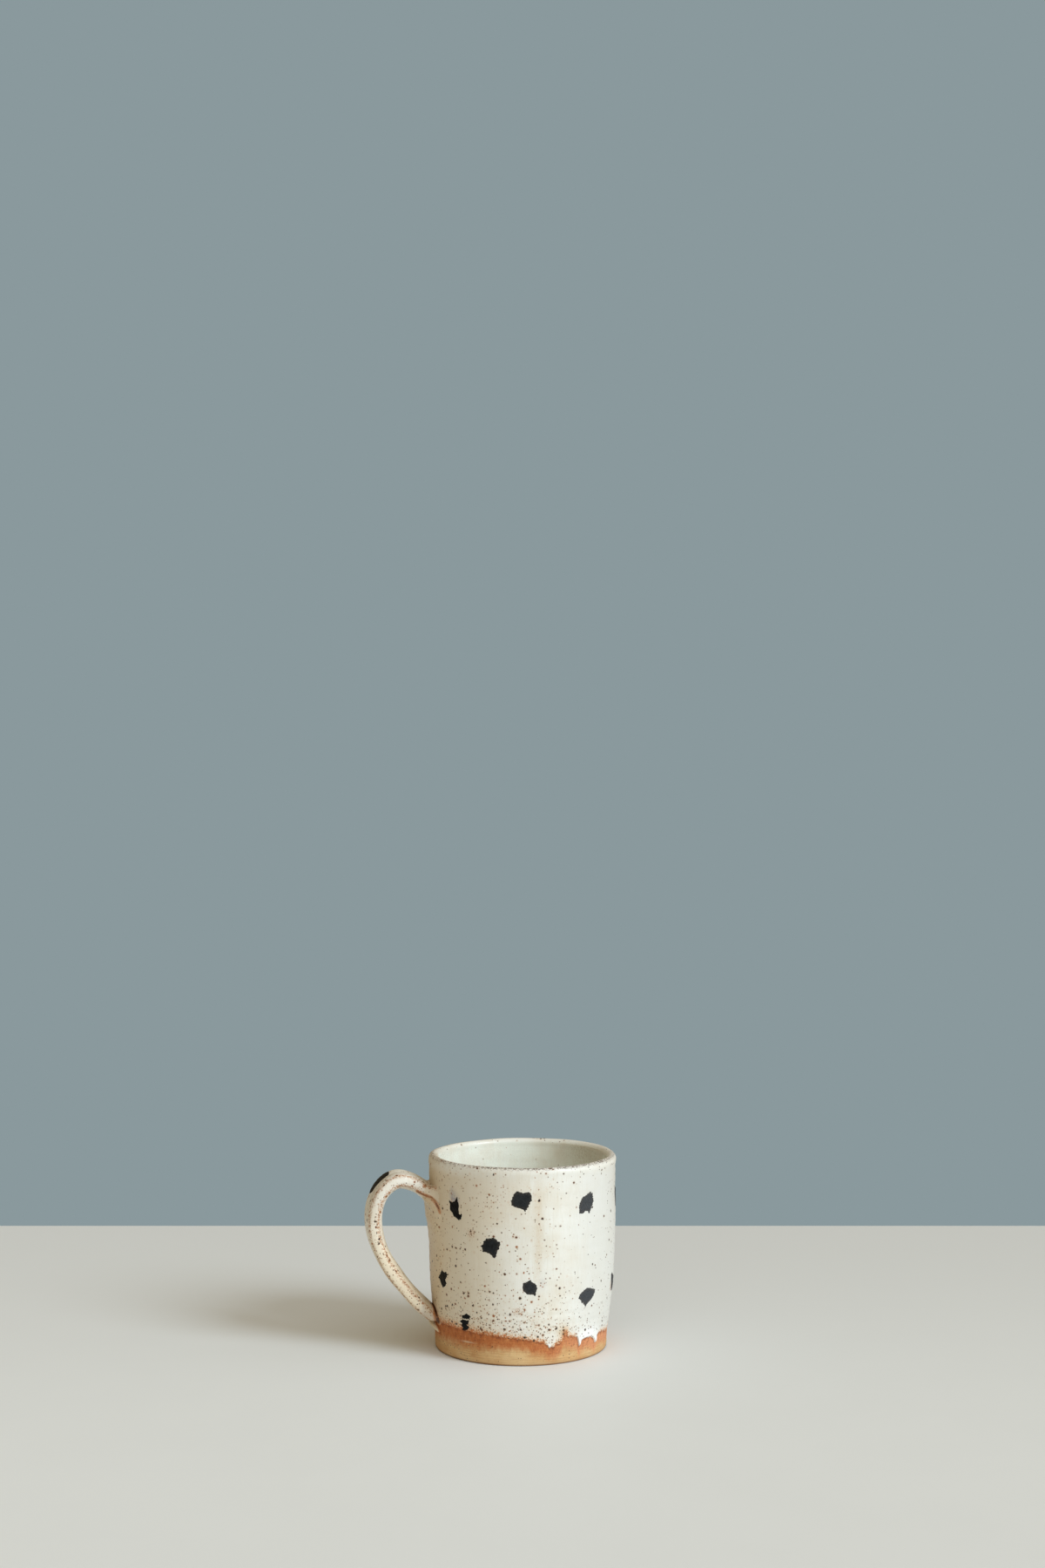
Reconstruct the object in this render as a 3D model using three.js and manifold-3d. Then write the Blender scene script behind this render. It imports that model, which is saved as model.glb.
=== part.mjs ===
// A hand-thrown stoneware mug: one clay body, one pulled strap handle with its two pressed joins,
// three coats of glaze and a scatter of brushed dots. Millimetres, +Z up. The origin is the centre
// of the flat foot, and the handle points along -X.
import * as THREE from 'three';
import { mergeVertices } from 'three/addons/utils/BufferGeometryUtils.js';
import Module from 'manifold-3d';

const wasm = await Module();
wasm.setup();

// Driving dimensions
const FACETS = 64;            // facets round the axis, the same on every turned layer
const COAT = 0.45;            // from the clay to the face of the glaze
const SEAT = 0.05;            // between a turned layer and the one under it
const CUT_GAP = 0.3;          // between pieces that are cut to fit one another
const GLAZE_LINE = 12.2;      // height where the outer glaze stops above the foot
const LINER_TOP = 83;         // height where the liner meets the coat that runs over the rim
const FLOOR = 6.55;           // clay thickness under the drink
const RIM = { r: 41.85, z: 87.9, half: 1.65 };  // round lip of the clay wall

// Outside of the clay as [radius, height], from the foot's bevel up to the lip.
const CLAY_WALL = [
  [39.5, 0], [40.1, 0.7], [40.2, 5], [40.45, 9.5], [40.7, 14], [41.55, 22], [42.3, 30], [42.75, 38],
  [43.05, 46], [43.25, 55], [43.35, 62], [43.15, 70], [43.1, 76], [43.25, 82], [43.5, 86.6],
];
// Inside of the clay, from the lip down to the rounded corner of the floor.
const CLAY_INSIDE = [[40.2, 86.6], [39.85, LINER_TOP], [39.45, 70], [39.35, 50], [39.0, 32], [38.3, 18]];
const FLOOR_CORNER = 9;       // radius of that corner

// Middle line of the strap, from inside the upper wall, over the top and down to the lower wall.
const STRAP_LINE = [
  [-36, 65.3], [-40, 68.6], [-46.5, 74], [-52.5, 78], [-59.5, 79.4], [-66, 75.4], [-69.4, 68.5],
  [-70.2, 60], [-68.9, 52.5], [-65, 43.2], [-58.6, 33.6], [-51, 24.6], [-44.5, 18.2], [-39, 13.2],
  [-35, 9.8],
];
// Half of the strap's section as [across, outward], in units of its half width and half thickness.
const STRAP_SECTION = [[0, 1], [0.55, 0.94], [0.86, 0.76], [1, 0.15], [0.96, -0.35], [0.62, -0.82], [0, -1]];
const STRAP_STEPS = 36;
const STRAP_END = 14.6;       // height where the strap's lower end is cut off level, over its tail

// Brushed dots on the wall as [name, angle from +X in degrees, height, width, height of the dot].
const WALL_DOTS = [
  ['dot_upper_1', -145.2, 69.7, 7.5, 9], ['dot_upper_2', -101.2, 75.6, 9, 8.6],
  ['dot_upper_3', -58.4, 72.4, 8.2, 9], ['dot_upper_4', -13.5, 69.2, 7.5, 9],
  ['dot_upper_5', 31, 73, 8, 8.5], ['dot_upper_6', 76, 71, 8.5, 8],
  ['dot_upper_7', 121, 74, 7.5, 9], ['dot_middle_1', -119.1, 54.2, 8.4, 8.6],
  ['dot_middle_2', 8, 52.5, 7.5, 8], ['dot_middle_3', 98, 53, 8.5, 7.5],
  ['dot_lower_1', -156.8, 36, 7, 7.4], ['dot_lower_2', -95.5, 36.3, 6.3, 6.8],
  ['dot_lower_3', -55.7, 29.4, 10, 8], ['dot_lower_4', -21, 30.4, 5, 8],
  ['dot_lower_5', 50, 34, 7.5, 7.5], ['dot_lower_6', 139, 37, 7, 8],
  ['dot_foot_1', -137.9, 18.5, 5.4, 7.8], ['dot_foot_2', 72, 20, 5.5, 6.5],
];
const DOT_THICKNESS = 0.25;
const DOT_SEAT = 0.12;        // clears the flats between a dot's own points
const DOT_SIDES = 14;
const HANDLE_DOT = { u: 0.305, length: 12, width: 8 };  // on the strap's outer shoulder

const FINISHES = {
  clay: { color: 0xc49a6c, roughness: 0.85, metalness: 0 },
  glaze: { color: 0xe0ddcd, roughness: 0.42, metalness: 0 },
  liner: { color: 0xe6e6da, roughness: 0.25, metalness: 0 },
  dot: { color: 0x2b2e2f, roughness: 0.5, metalness: 0 },
};

const mug = new THREE.Group();

function addPart(name, finish, geometry) {
  const mesh = new THREE.Mesh(geometry, new THREE.MeshStandardMaterial(FINISHES[finish]));
  mesh.name = name;
  mug.add(mesh);
}

// Solids that are joined or cut

function toSolid(geometry) {
  const bare = geometry.clone();
  bare.deleteAttribute('normal');
  bare.deleteAttribute('uv');
  const merged = mergeVertices(bare, 1e-5);
  return new wasm.Manifold(new wasm.Mesh({
    numProp: 3,
    vertProperties: new Float32Array(merged.attributes.position.array),
    triVerts: new Uint32Array(merged.index.array),
  }));
}

function toGeometry(solid) {
  const mesh = solid.getMesh();
  const geometry = new THREE.BufferGeometry();
  geometry.setAttribute('position', new THREE.BufferAttribute(mesh.vertProperties, 3));
  geometry.setIndex(new THREE.BufferAttribute(mesh.triVerts, 1));
  geometry.computeVertexNormals();
  return geometry;
}

// Turned layers

function turned(outline) {
  const points = outline.map(([r, z]) => new THREE.Vector2(r, z));
  return new THREE.LatheGeometry(points, FACETS).rotateX(Math.PI / 2);
}

// An arc in the section, as [radius, height] points from one angle to the other.
function arc(r, z, radius, fromDegrees, toDegrees, steps) {
  return Array.from({ length: steps + 1 }, (_, i) => {
    const angle = THREE.MathUtils.degToRad(fromDegrees + (toDegrees - fromDegrees) * i / steps);
    return [r + radius * Math.cos(angle), z + radius * Math.sin(angle)];
  });
}

// Radius of the clay's outside at a height, straight between the points of CLAY_WALL.
function clayRadius(height) {
  const above = Math.max(1, CLAY_WALL.findIndex(([, z]) => z >= height));
  const [r0, z0] = CLAY_WALL[above - 1];
  const [r1, z1] = CLAY_WALL[above];
  return THREE.MathUtils.mapLinear(height, z0, z1, r0, r1);
}

// The three faces that every layer follows, each moved out of the clay by `off`.
const outsideAt = (off, from) => [
  [clayRadius(from) + off, from],
  ...CLAY_WALL.filter(([, z]) => z > from).map(([r, z]) => [r + off, z]),
];
const lipAt = (off) => arc(RIM.r, RIM.z, RIM.half + off, 22, 158, 6);
const insideAt = (off) => CLAY_INSIDE.map(([r, z]) => [r - off, z]);
const floorAt = (off) => {
  const [edge, top] = CLAY_INSIDE.at(-1);
  const corner = arc(edge - FLOOR_CORNER, FLOOR + FLOOR_CORNER, FLOOR_CORNER - off, 0, -90, 5);
  return [...corner.filter(([, z]) => z < top), [0, FLOOR + off]];
};

function clayBody() {
  return turned([[0, 0], ...outsideAt(0, 0), ...lipAt(0), ...insideAt(0), ...floorAt(0)]);
}

// A closed band of glaze between the clay's seat and the face of the coat.
function wallCoat() {
  const lipEnd = (off) => insideAt(off).slice(0, 2);
  const face = [...outsideAt(COAT, GLAZE_LINE), ...lipAt(COAT), ...lipEnd(COAT)];
  const back = [...outsideAt(SEAT, GLAZE_LINE), ...lipAt(SEAT), ...lipEnd(SEAT)].reverse();
  return turned([...face, ...back, face[0]]);
}

function linerCoat() {
  const lowered = ([r, z]) => [r, z === LINER_TOP ? z - CUT_GAP : z];
  const layer = (off) => [...insideAt(off).slice(1).map(lowered), ...floorAt(off)];
  return turned([...layer(SEAT).reverse(), ...layer(COAT)]);
}

// Everything inside the outer face of the wall, grown by `off`, cavity included.
function wallEnvelope(off) {
  return toSolid(turned([[0, -1], [CLAY_WALL[0][0] + off, -1], ...outsideAt(off, 0), [0, RIM.z]]));
}

// The strap

const strapCurve = new THREE.CatmullRomCurve3(STRAP_LINE.map(([x, z]) => new THREE.Vector3(x, 0, z)));

const strapHalfWidth = (u) => THREE.MathUtils.lerp(9.7, 8.3, u) + 3.2 * Math.max(0, 1 - u / 0.15) ** 2;
const strapHalfThickness = (u) => THREE.MathUtils.lerp(3.6, 3.3, u) + 0.5 * Math.sin(Math.PI * u);

// A point of the strap: u along it, `across` in half widths, `outward` in half thicknesses. Both
// halves are grown by `off`.
function strapPoint(u, across, outward, off) {
  const middle = strapCurve.getPointAt(u);
  const along = strapCurve.getTangentAt(u);
  const out = new THREE.Vector3(along.z, 0, -along.x);
  middle.addScaledVector(out, outward * (strapHalfThickness(u) + off));
  middle.y = -across * (strapHalfWidth(u) + off);
  return middle;
}

// A straight bar of the strap's section, bent along the strap's middle line.
function strap(off) {
  const half = STRAP_SECTION.map(([across, outward]) => new THREE.Vector2(across, outward));
  const mirrored = half.slice(1, -1).reverse().map((p) => new THREE.Vector2(-p.x, p.y));
  const section = new THREE.Shape([...half, ...mirrored]);
  const bar = new THREE.ExtrudeGeometry(section, { depth: 1, steps: STRAP_STEPS, bevelEnabled: false });
  const position = bar.attributes.position;
  for (let i = 0; i < position.count; i++) {
    const point = strapPoint(position.getZ(i), position.getX(i), position.getY(i), off);
    position.setXYZ(i, point.x, point.y, point.z);
  }
  return toSolid(bar);
}

// Pressed joins

// A pad of clay on the wall under the strap. `outline` is its middle section as [proud, height];
// it thins to `edge` of that at its two sides, `halfWidth` round the wall from the middle.
function pressedPad(outline, halfWidth, edge) {
  const points = outline.map(([proud, z]) => new THREE.Vector2(proud, z));
  const slices = { depth: 1, steps: 10, bevelEnabled: false };
  const pad = new THREE.ExtrudeGeometry(new THREE.Shape(points), slices);
  const position = pad.attributes.position;
  for (let i = 0; i < position.count; i++) {
    const side = 2 * position.getZ(i) - 1;
    const height = position.getY(i);
    const proud = position.getX(i) * THREE.MathUtils.lerp(1, edge, side * side);
    const radius = clayRadius(height) + proud;
    const angle = Math.PI - side * halfWidth / clayRadius(height);
    position.setXYZ(i, radius * Math.cos(angle), radius * Math.sin(angle), height);
  }
  return toSolid(pad);
}

// Dots

// A round slab of thin paint, its local x and y in half sizes and its z from back to face. More
// rings let it follow a tighter bend.
function slab(rings) {
  const spoke = Array.from({ length: rings + 1 }, (_, i) => new THREE.Vector2(i / rings, 0));
  const face = spoke.map(({ x }) => new THREE.Vector2(x, 1)).reverse();
  return new THREE.LatheGeometry([...spoke, ...face], DOT_SIDES).rotateX(Math.PI / 2);
}

function wallDot(degrees, height, width, tall) {
  const dot = slab(1);
  const position = dot.attributes.position;
  for (let i = 0; i < position.count; i++) {
    const z = height + position.getY(i) * tall / 2;
    const radius = clayRadius(z) + COAT + DOT_SEAT + position.getZ(i) * DOT_THICKNESS;
    const angle = THREE.MathUtils.degToRad(degrees) + position.getX(i) * width / 2 / radius;
    position.setXYZ(i, radius * Math.cos(angle), radius * Math.sin(angle), z);
  }
  dot.computeVertexNormals();
  return dot;
}

function handleDot({ u, length, width }) {
  const dot = slab(3);
  const position = dot.attributes.position;
  for (let i = 0; i < position.count; i++) {
    const at = u + position.getY(i) * length / 2 / strapCurve.getLength();
    const across = position.getX(i) * width / 2 / strapHalfWidth(at);
    const proud = CUT_GAP + position.getZ(i) * DOT_THICKNESS;
    const point = strapPoint(at, -across, 1, proud);
    position.setXYZ(i, point.x, point.y, point.z);
  }
  dot.computeVertexNormals();
  return dot;
}

// The mug, built up as it is made: thrown, joined, glazed and painted

const belowStrap = toSolid(
  new THREE.BoxGeometry(60, 60, 2 * STRAP_END).translate(-CLAY_WALL[0][0], 0, 0));
const strapCore = strap(-COAT).subtract(belowStrap);
const strapClearance = strap(CUT_GAP - COAT);
const glazedStrap = strap(0);

addPart('clay_body', 'clay', clayBody());
addPart('handle', 'clay', toGeometry(strapCore.subtract(wallEnvelope(CUT_GAP))));

const upperPad = pressedPad(
  [[-2, 45], [0.6, 46], [1, 52], [1.5, 58], [2.3, 64], [3.6, 69], [6, 72.5], [-2, 70]], 12, 0.25);
const upperJoin = upperPad.subtract(strap(CUT_GAP)).subtract(wallEnvelope(COAT + CUT_GAP));
addPart('upper_join', 'glaze', toGeometry(upperJoin));
const tailTop = STRAP_END - CUT_GAP;
const lowerPad = pressedPad([[-2, 10.4], [0.7, 10.8], [2, 12.4], [3.4, tailTop], [-2, tailTop]], 9.5, 0.5);
addPart('lower_join', 'clay', toGeometry(lowerPad.subtract(wallEnvelope(COAT + CUT_GAP))));

addPart('wall_glaze', 'glaze', toGeometry(toSolid(wallCoat()).subtract(strapClearance)));
addPart('liner_glaze', 'liner', linerCoat());
const sleeve = glazedStrap.subtract(strap(SEAT - COAT)).subtract(belowStrap);
addPart('handle_glaze', 'glaze', toGeometry(sleeve.subtract(wallEnvelope(COAT + CUT_GAP))));

for (const [name, degrees, height, width, tall] of WALL_DOTS) {
  addPart(name, 'dot', wallDot(degrees, height, width, tall));
}
addPart('dot_handle', 'dot', handleDot(HANDLE_DOT));

export default mug;
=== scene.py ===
"""A hand-thrown stoneware mug with brushed dots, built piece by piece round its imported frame.

The body, the strap and its joins, the coats of glaze and the dots are surfaces worked out with
numpy. Lists of places on the wall are in millimetres: how far round the wall from the side that
faces the viewer, then the height above the foot.
"""
import math

import bpy
import numpy as np
from bpy.props import FloatProperty, FloatVectorProperty, PointerProperty
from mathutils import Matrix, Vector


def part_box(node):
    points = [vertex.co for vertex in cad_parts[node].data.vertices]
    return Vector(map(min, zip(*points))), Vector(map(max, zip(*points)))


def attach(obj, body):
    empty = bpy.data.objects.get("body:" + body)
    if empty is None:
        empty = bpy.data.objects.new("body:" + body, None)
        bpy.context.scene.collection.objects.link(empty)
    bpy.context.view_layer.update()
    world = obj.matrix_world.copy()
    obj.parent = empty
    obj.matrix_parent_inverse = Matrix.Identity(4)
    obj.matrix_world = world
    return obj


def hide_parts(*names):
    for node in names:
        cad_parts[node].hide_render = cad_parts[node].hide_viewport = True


bl_info = {
    "name": "Stoneware Mug",
    "version": (1, 0, 0),
    "blender": (4, 5, 0),
    "location": "View3D > Sidebar > Mug",
    "description": "Builds a thrown stoneware mug with a pulled handle, glaze coats and brushed dots",
    "category": "Object",
}

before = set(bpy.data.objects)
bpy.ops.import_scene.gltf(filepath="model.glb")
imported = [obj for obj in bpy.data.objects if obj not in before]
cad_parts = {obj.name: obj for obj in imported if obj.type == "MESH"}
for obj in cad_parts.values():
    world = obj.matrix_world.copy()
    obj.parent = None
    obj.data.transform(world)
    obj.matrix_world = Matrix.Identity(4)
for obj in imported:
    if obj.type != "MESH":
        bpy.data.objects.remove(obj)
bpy.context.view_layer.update()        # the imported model: its nodes and record

MM = 0.001

# Which way the mug is seen, and the wall's round measure
VIEW_TURN = math.radians(-10.5)                    # round the mug from the side along +Y
FRONT = -math.pi / 2 + VIEW_TURN                   # direction of the wall that faces the viewer
RIGHT = np.array([math.cos(VIEW_TURN), math.sin(VIEW_TURN)])
ROUND = 43.5                                       # radius at which distances round the wall count
LIP_DEPTH = 2.9                                    # how far below its top the lip's round begins
FLOOR_CORNER = 9.0                                 # radius inside, between wall and floor

# Lower edge of the wall's glaze: distance round the wall, height
GLAZE_EDGE = [
    (-60, 13.6), (-50, 14.3), (-40, 14.6), (-30, 14.2), (-20, 13.8), (-10, 13.3), (0, 12.2), (6, 11.3),
    (10, 10.3), (12, 9.7), (13.4, 8.9), (14.1, 7.7), (15, 8.4), (16.5, 8.2), (18, 8.6), (20, 9.3),
    (21, 10.9), (21.7, 12.8), (23.2, 12.6), (24.2, 11.8), (27, 11.8), (29.6, 11.2), (30.6, 9.0),
    (31.3, 6.0), (32.1, 8.4), (33.4, 9.7), (36, 9.9), (39, 9.6), (41, 8.9), (42.6, 7.6), (43.4, 5.8),
    (44.2, 7.8), (45.4, 9.7), (47, 10.2), (52, 9.6), (58, 8.6), (70, 9.5), (85, 11), (100, 12.4),
    (120, 13), (136, 12.8), (153, 12.2), (173, 13.2), (188, 12.6), (203, 13.4),
]
# Places where the wall's glaze differs: distance round, height, half width, half height, strength
THICK_GLAZE = [(37, 11.5, 7.5, 3.2, 1.0), (31.2, 8.3, 1.1, 2.6, 1.0), (43.3, 7.9, 1.1, 2.6, 1.0),
               (14, 9.0, 1.6, 2.0, 0.6)]
SPECK_PATCHES = [(-2, 25, 2.6, 2.2, 1.0), (-16, 74, 7, 4.5, 0.55), (-24, 59.5, 2.6, 3.4, 0.7),
                 (-30, 20, 26, 7, 0.35), (-16, 31, 3, 2, 0.6), (3, 18, 9, 4, 0.35),
                 (7.5, 58, 1.6, 22, 0.35), (-45, 50, 14, 30, 0.16), (18, 12, 5, 4, 0.6),
                 (8, 17, 34, 7, 0.5), (-8, 30, 26, 9, 0.25), (32, 58, 20, 24, -0.12)]
LILAC_SMEARS = [(-36.2, 75.2, 1.1, 3.4, 1.0), (-34.2, 73.8, 1.2, 3.2, 1.0), (-32.2, 72.4, 1.0, 3.0, 0.9),
                (9.5, 38, 1.8, 2.6, 0.3)]
# Warm stains; the broad one over the wall's left side is painted shade, warmer and darker there
WARM_STAINS_AND_PAINTED_SHADE = [(7.5, 60, 2.0, 22, 0.5), (-57, 50, 17, 60, 0.8), (20.5, 14.5, 2.6, 3.2, 0.9),
               (-14, 76, 14, 12, 0.2)]
WIDE_FRINGE = [(21.8, 14, 2.6, 4, 9.0)]          # where the thin fringe over the edge reaches higher
GLAZE_DRAG = [(-28, 9.2, 3.4, 0.3, 0.8)]         # a drag of glaze on the bare clay
PLAIN_SPECKS = 0.14                              # how crowded the specks are elsewhere
RUST_SPOTS = [(-2.4, 25.4, 1.5, 1.0, 1.0), (-0.6, 24.6, 0.9, 0.9, 1.0), (-24, 59.5, 1.8, 1.8, 0.6),
              (57.5, 30, 1.6, 2.4, 1.0), (21.6, 14, 1.3, 2.0, 0.8), (-45.5, 12.5, 2.5, 2.5, 0.7)]

# The strap's middle line as (x, height), from inside the upper wall to inside the lower wall
STRAP_LINE = [
    (-36, 65.1), (-40, 68.3), (-46.5, 74.0), (-52.5, 77.8), (-59.5, 79.1), (-65.8, 75.2), (-69.2, 68.4),
    (-70.1, 60), (-68.8, 52.5), (-65, 43.2), (-58.6, 33.6), (-51, 24.6), (-44.5, 18.2), (-39, 13.2),
    (-35, 9.8),
]
# Half of its section as (across, outward), in half widths and half thicknesses
STRAP_SECTION = [(0, 0.92), (0.35, 1), (0.7, 0.97), (0.9, 0.74), (0.985, 0.3), (1, -0.05),
                 (0.965, -0.36), (0.78, -0.72), (0.42, -0.95), (0, -1)]
OUTER_RIDGE = (0.86, 0.85)
INNER_RIDGE = (0.965, -0.36)
STRAP_END = 14.5              # height where the strap's lower end is folded level
ROOT_CREASE = [                # under one side of the strap's root and on down the wall, as (x, y, z)
    (-50.7, -9.5, 74.8), (-47.6, -10.2, 73.2), (-44.7, -11.5, 72.4), (-42.7, -13, 70.3), (-41.6, -14, 68),
    (-41, -14.4, 65.9),
]
ROOT_SPOT = (-47.4, -10, 77.4)  # a dark spot beside the strap's root, as (x, y, z)
# How far the web under the strap stands out from the wall, as (height, rise)
WEB_RISE = [(44, 0), (51.8, 0.35), (58, 0.9), (62.4, 2.0), (68.9, 2.6), (72.8, 6.2), (76, 8.0)]

# Brushed outlines as (round, up) from the middle of their dot
OUTLINES = {
    "dot_upper_2": [[(-1.9, 4.0), (-3.2, 2.9), (-3.9, 1.1), (-4.4, -0.3), (-4.2, -2.1), (-3.2, -2.8),
                     (-0.4, -3.5), (1.0, -3.9), (1.8, -4.9), (2.4, -3.9), (3.2, -2.5), (3.8, -0.8),
                     (4.7, 0.3), (4.4, 2.5), (3.8, 3.5), (2.6, 3.5), (0.7, 3.3), (-0.4, 3.6), (-1.1, 4.0)]],
    "dot_middle_1": [[(-2.1, 3.6), (-3.5, 2.5), (-3.6, 1.4), (-4.6, 0.4), (-4.2, -0.8), (-3.9, -2.1),
                      (-2.1, -2.4), (-0.7, -2.9), (0.7, -3.9), (1.7, -4.7), (2.5, -3.3), (2.6, -1.9),
                      (3.5, -0.6), (3.8, 1.1), (4.2, 2.2), (3.1, 2.8), (2.1, 3.5), (1.0, 4.2),
                      (-0.7, 3.8)]],
    "dot_upper_1": [[(-4.4, 2.9), (-3.4, 2.1), (-3.1, 1.2), (-3.3, -0.2), (-2.5, -1.4), (-1.1, -2.2),
                     (-0.6, -3.4), (1.0, -4.2), (2.6, -4.7), (4.0, -4.3), (4.5, -2.2), (3.7, -2.3),
                     (3.1, -2.6), (2.6, -1.8), (2.2, -0.4), (2.5, 1.4), (1.9, 3.1), (1.3, 5.1),
                     (0.4, 3.9), (0.0, 3.0), (-1.0, 2.9), (-2.1, 2.2), (-3.2, 2.8)]],
    "dot_lower_1": [[(-0.6, 3.75), (-1.7, 2.7), (-2.5, 1.5), (-4.2, 0), (-2.7, -0.8), (-2.1, -2.5),
                     (-0.4, -3.75), (1.7, -2.9), (2.5, -1.5), (1.7, -0.2), (3.1, 1.5), (3.5, 2.9),
                     (2.5, 3.5), (0.8, 3.1)]],
    "dot_foot_1": [[(1.0, 4.0), (3.1, 2.9), (2.3, 1.7), (-1.9, 1.45), (-1.9, 2.5), (-0.2, 3.1)],
                   [(-3.3, -0.2), (-1.9, 0.62), (1.9, 0.78), (1.5, -1.0), (0.4, -1.0), (1.9, -2.5),
                    (0.4, -3.5), (-2.3, -4.0), (-1.5, -2.7), (-2.5, -1.9), (-1.9, -0.8)]],
    "dot_lower_2": [[(0.1, 3.3), (-1.4, 2.5), (-3.0, 1.9), (-3.2, 0), (-2.4, -1.7), (-1.4, -2.9),
                     (0.5, -3.1), (1.9, -2.9), (2.25, -3.7), (2.6, -2.7), (2.8, -1.25), (3.2, 0.4),
                     (2.2, 1.7), (1.1, 2.3)]],
    "dot_upper_3": [[(2.2, 4.7), (3.6, 3.9), (3.9, 1.9), (4.3, 0.1), (3.0, -2.2), (2.3, -3.6),
                     (1.4, -4.7), (0.9, -3.7), (-0.7, -3.2), (-2.4, -4.3), (-4.2, -4.2), (-4.3, -1.3),
                     (-3.9, 0.4), (-3.2, 1.9), (-2.0, 3.0), (0.1, 3.6)]],
    "dot_upper_4": [[(-1.0, 4.9), (-2.8, 5.7), (-4.2, 4.9), (-3.9, 3.0), (-2.9, 1.0), (-2.6, -1.4),
                     (-0.8, -3.4), (1.6, -3.9), (3.4, -2.4), (4.1, 0.4), (3.4, 3.0), (1.2, 4.1)]],
    "dot_lower_4": [[(-0.8, 4.5), (-2.4, 5.4), (-3.9, 4.8), (-3.6, 3.0), (-2.6, 1.2), (-2.3, -1.2),
                     (-0.6, -3.2), (1.4, -3.5), (3.1, -2.0), (3.7, 0.6), (2.9, 2.8), (0.9, 3.6)]],
    "dot_lower_3": [[(-0.4, 3.9), (1.9, 3.4), (5.5, 2.3), (4.5, 0), (3.0, -1.7), (1.0, -2.9),
                     (-0.1, -3.4), (-0.9, -4.6), (-1.6, -3.2), (-3.3, -2.0), (-3.9, -0.9),
                     (-5.3, -0.3), (-4.7, 1.4), (-3.0, 2.6)]],
}


OLIVE_STAIN_AND_SHADE = (150, 130, 88)    # the stain inside, strengthened as painted shade, on screen


def srgb(red, green, blue):
    """A colour from 0 to 255 on screen, as the linear values that shaders use."""
    return tuple(((c / 255 + 0.055) / 1.055) ** 2.4 for c in (red, green, blue))


# Numbers and curves

def ease_step(value, start, end):
    """0 before start and 1 after end, and 3t^2 - 2t^3 between them."""
    t = np.clip((np.asarray(value, float) - start) / (end - start), 0, 1)
    return t * t * (3 - 2 * t)


def spline(points, closed=False, per=24):
    """A smooth curve through the points: each stretch is the cubic that leaves its ends in the
    direction that weighs the chords on both sides by the root of their lengths."""
    p = np.asarray(points, float)
    p = np.vstack([p[-1:], p, p[:2]]) if closed else np.vstack([2 * p[0] - p[1], p, 2 * p[-1] - p[-2]])
    chord = np.diff(p, axis=0)
    step = np.sqrt(np.linalg.norm(chord, axis=1))[:, None]
    slope = (chord[1:] / step[1:] + chord[:-1] / step[:-1]
             - (p[2:] - p[:-2]) / (step[1:] + step[:-1]))
    t = (np.arange(per) / per)[None, :, None]
    start, end, length = p[1:-2, None], p[2:-1, None], step[1:-1, None]
    curve = ((2 * t**3 - 3 * t**2 + 1) * start + (t**3 - 2 * t**2 + t) * length * slope[:-1, None]
             + (3 * t**2 - 2 * t**3) * end + (t**3 - t**2) * length * slope[1:, None])
    return np.vstack([curve.reshape(-1, p.shape[1]), p[-2:-1]])


def evenly(points, count):
    """The same curve as `count` points at equal steps along it."""
    along = np.concatenate([[0], np.cumsum(np.linalg.norm(np.diff(points, axis=0), axis=1))])
    at = np.linspace(0, along[-1], count)
    return np.stack([np.interp(at, along, column) for column in points.T], axis=1)


def soften(values, width):
    """Each value averaged with its neighbours by a bell curve `width` samples wide; the ends stay."""
    reach = int(4 * width)
    bell = np.exp(-0.5 * (np.arange(-reach, reach + 1) / width) ** 2)
    padded = np.concatenate([2 * values[0] - values[reach:0:-1], values,
                             2 * values[-1] - values[-2:-reach - 2:-1]])
    return np.convolve(padded, bell / bell.sum(), mode="valid")


def waves(seed, count, lengths, *axes):
    """Uneven ripples from -1 to 1 over the axes: the mean of sine waves that run in all directions,
    their wavelengths spread between the two lengths."""
    rng = np.random.default_rng(seed)
    total = 0
    for length in np.geomspace(lengths[0], lengths[1], count):
        way = rng.normal(size=len(axes))
        way = way / np.linalg.norm(way) * 2 * math.pi / length
        total = total + np.sin(sum(w * axis for w, axis in zip(way, axes)) + rng.uniform(0, 2 * math.pi))
    return total / math.sqrt(count)


# The clay's section, read from the frame

def clay_triangles():
    """Corners and unit normals of the clay body's triangles, in millimetres."""
    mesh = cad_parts["clay_body"].data
    mesh.calc_loop_triangles()
    points = np.empty(len(mesh.vertices) * 3)
    mesh.vertices.foreach_get("co", points)
    corners = np.empty(len(mesh.loop_triangles) * 3, int)
    mesh.loop_triangles.foreach_get("vertices", corners)
    triangles = points.reshape(-1, 3)[corners.reshape(-1, 3)] / MM
    normals = np.cross(triangles[:, 1] - triangles[:, 0], triangles[:, 2] - triangles[:, 0])
    return triangles, normals / np.linalg.norm(normals, axis=1)[:, None]


def turned_line(triangles, normals, side):
    """Radii against heights of the faces that look away from the axis (side 1) or to it (-1)."""
    middle = triangles.mean(axis=1)[:, :2]
    outward = (normals[:, :2] * middle).sum(axis=1) / np.linalg.norm(middle, axis=1)
    points = triangles[side * outward > 0.35].reshape(-1, 3)
    heights, place = np.unique(points[:, 2].round(2), return_inverse=True)
    radii = np.zeros(len(heights))
    np.maximum.at(radii, place, np.hypot(points[:, 0], points[:, 1]))
    return radii, heights


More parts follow.
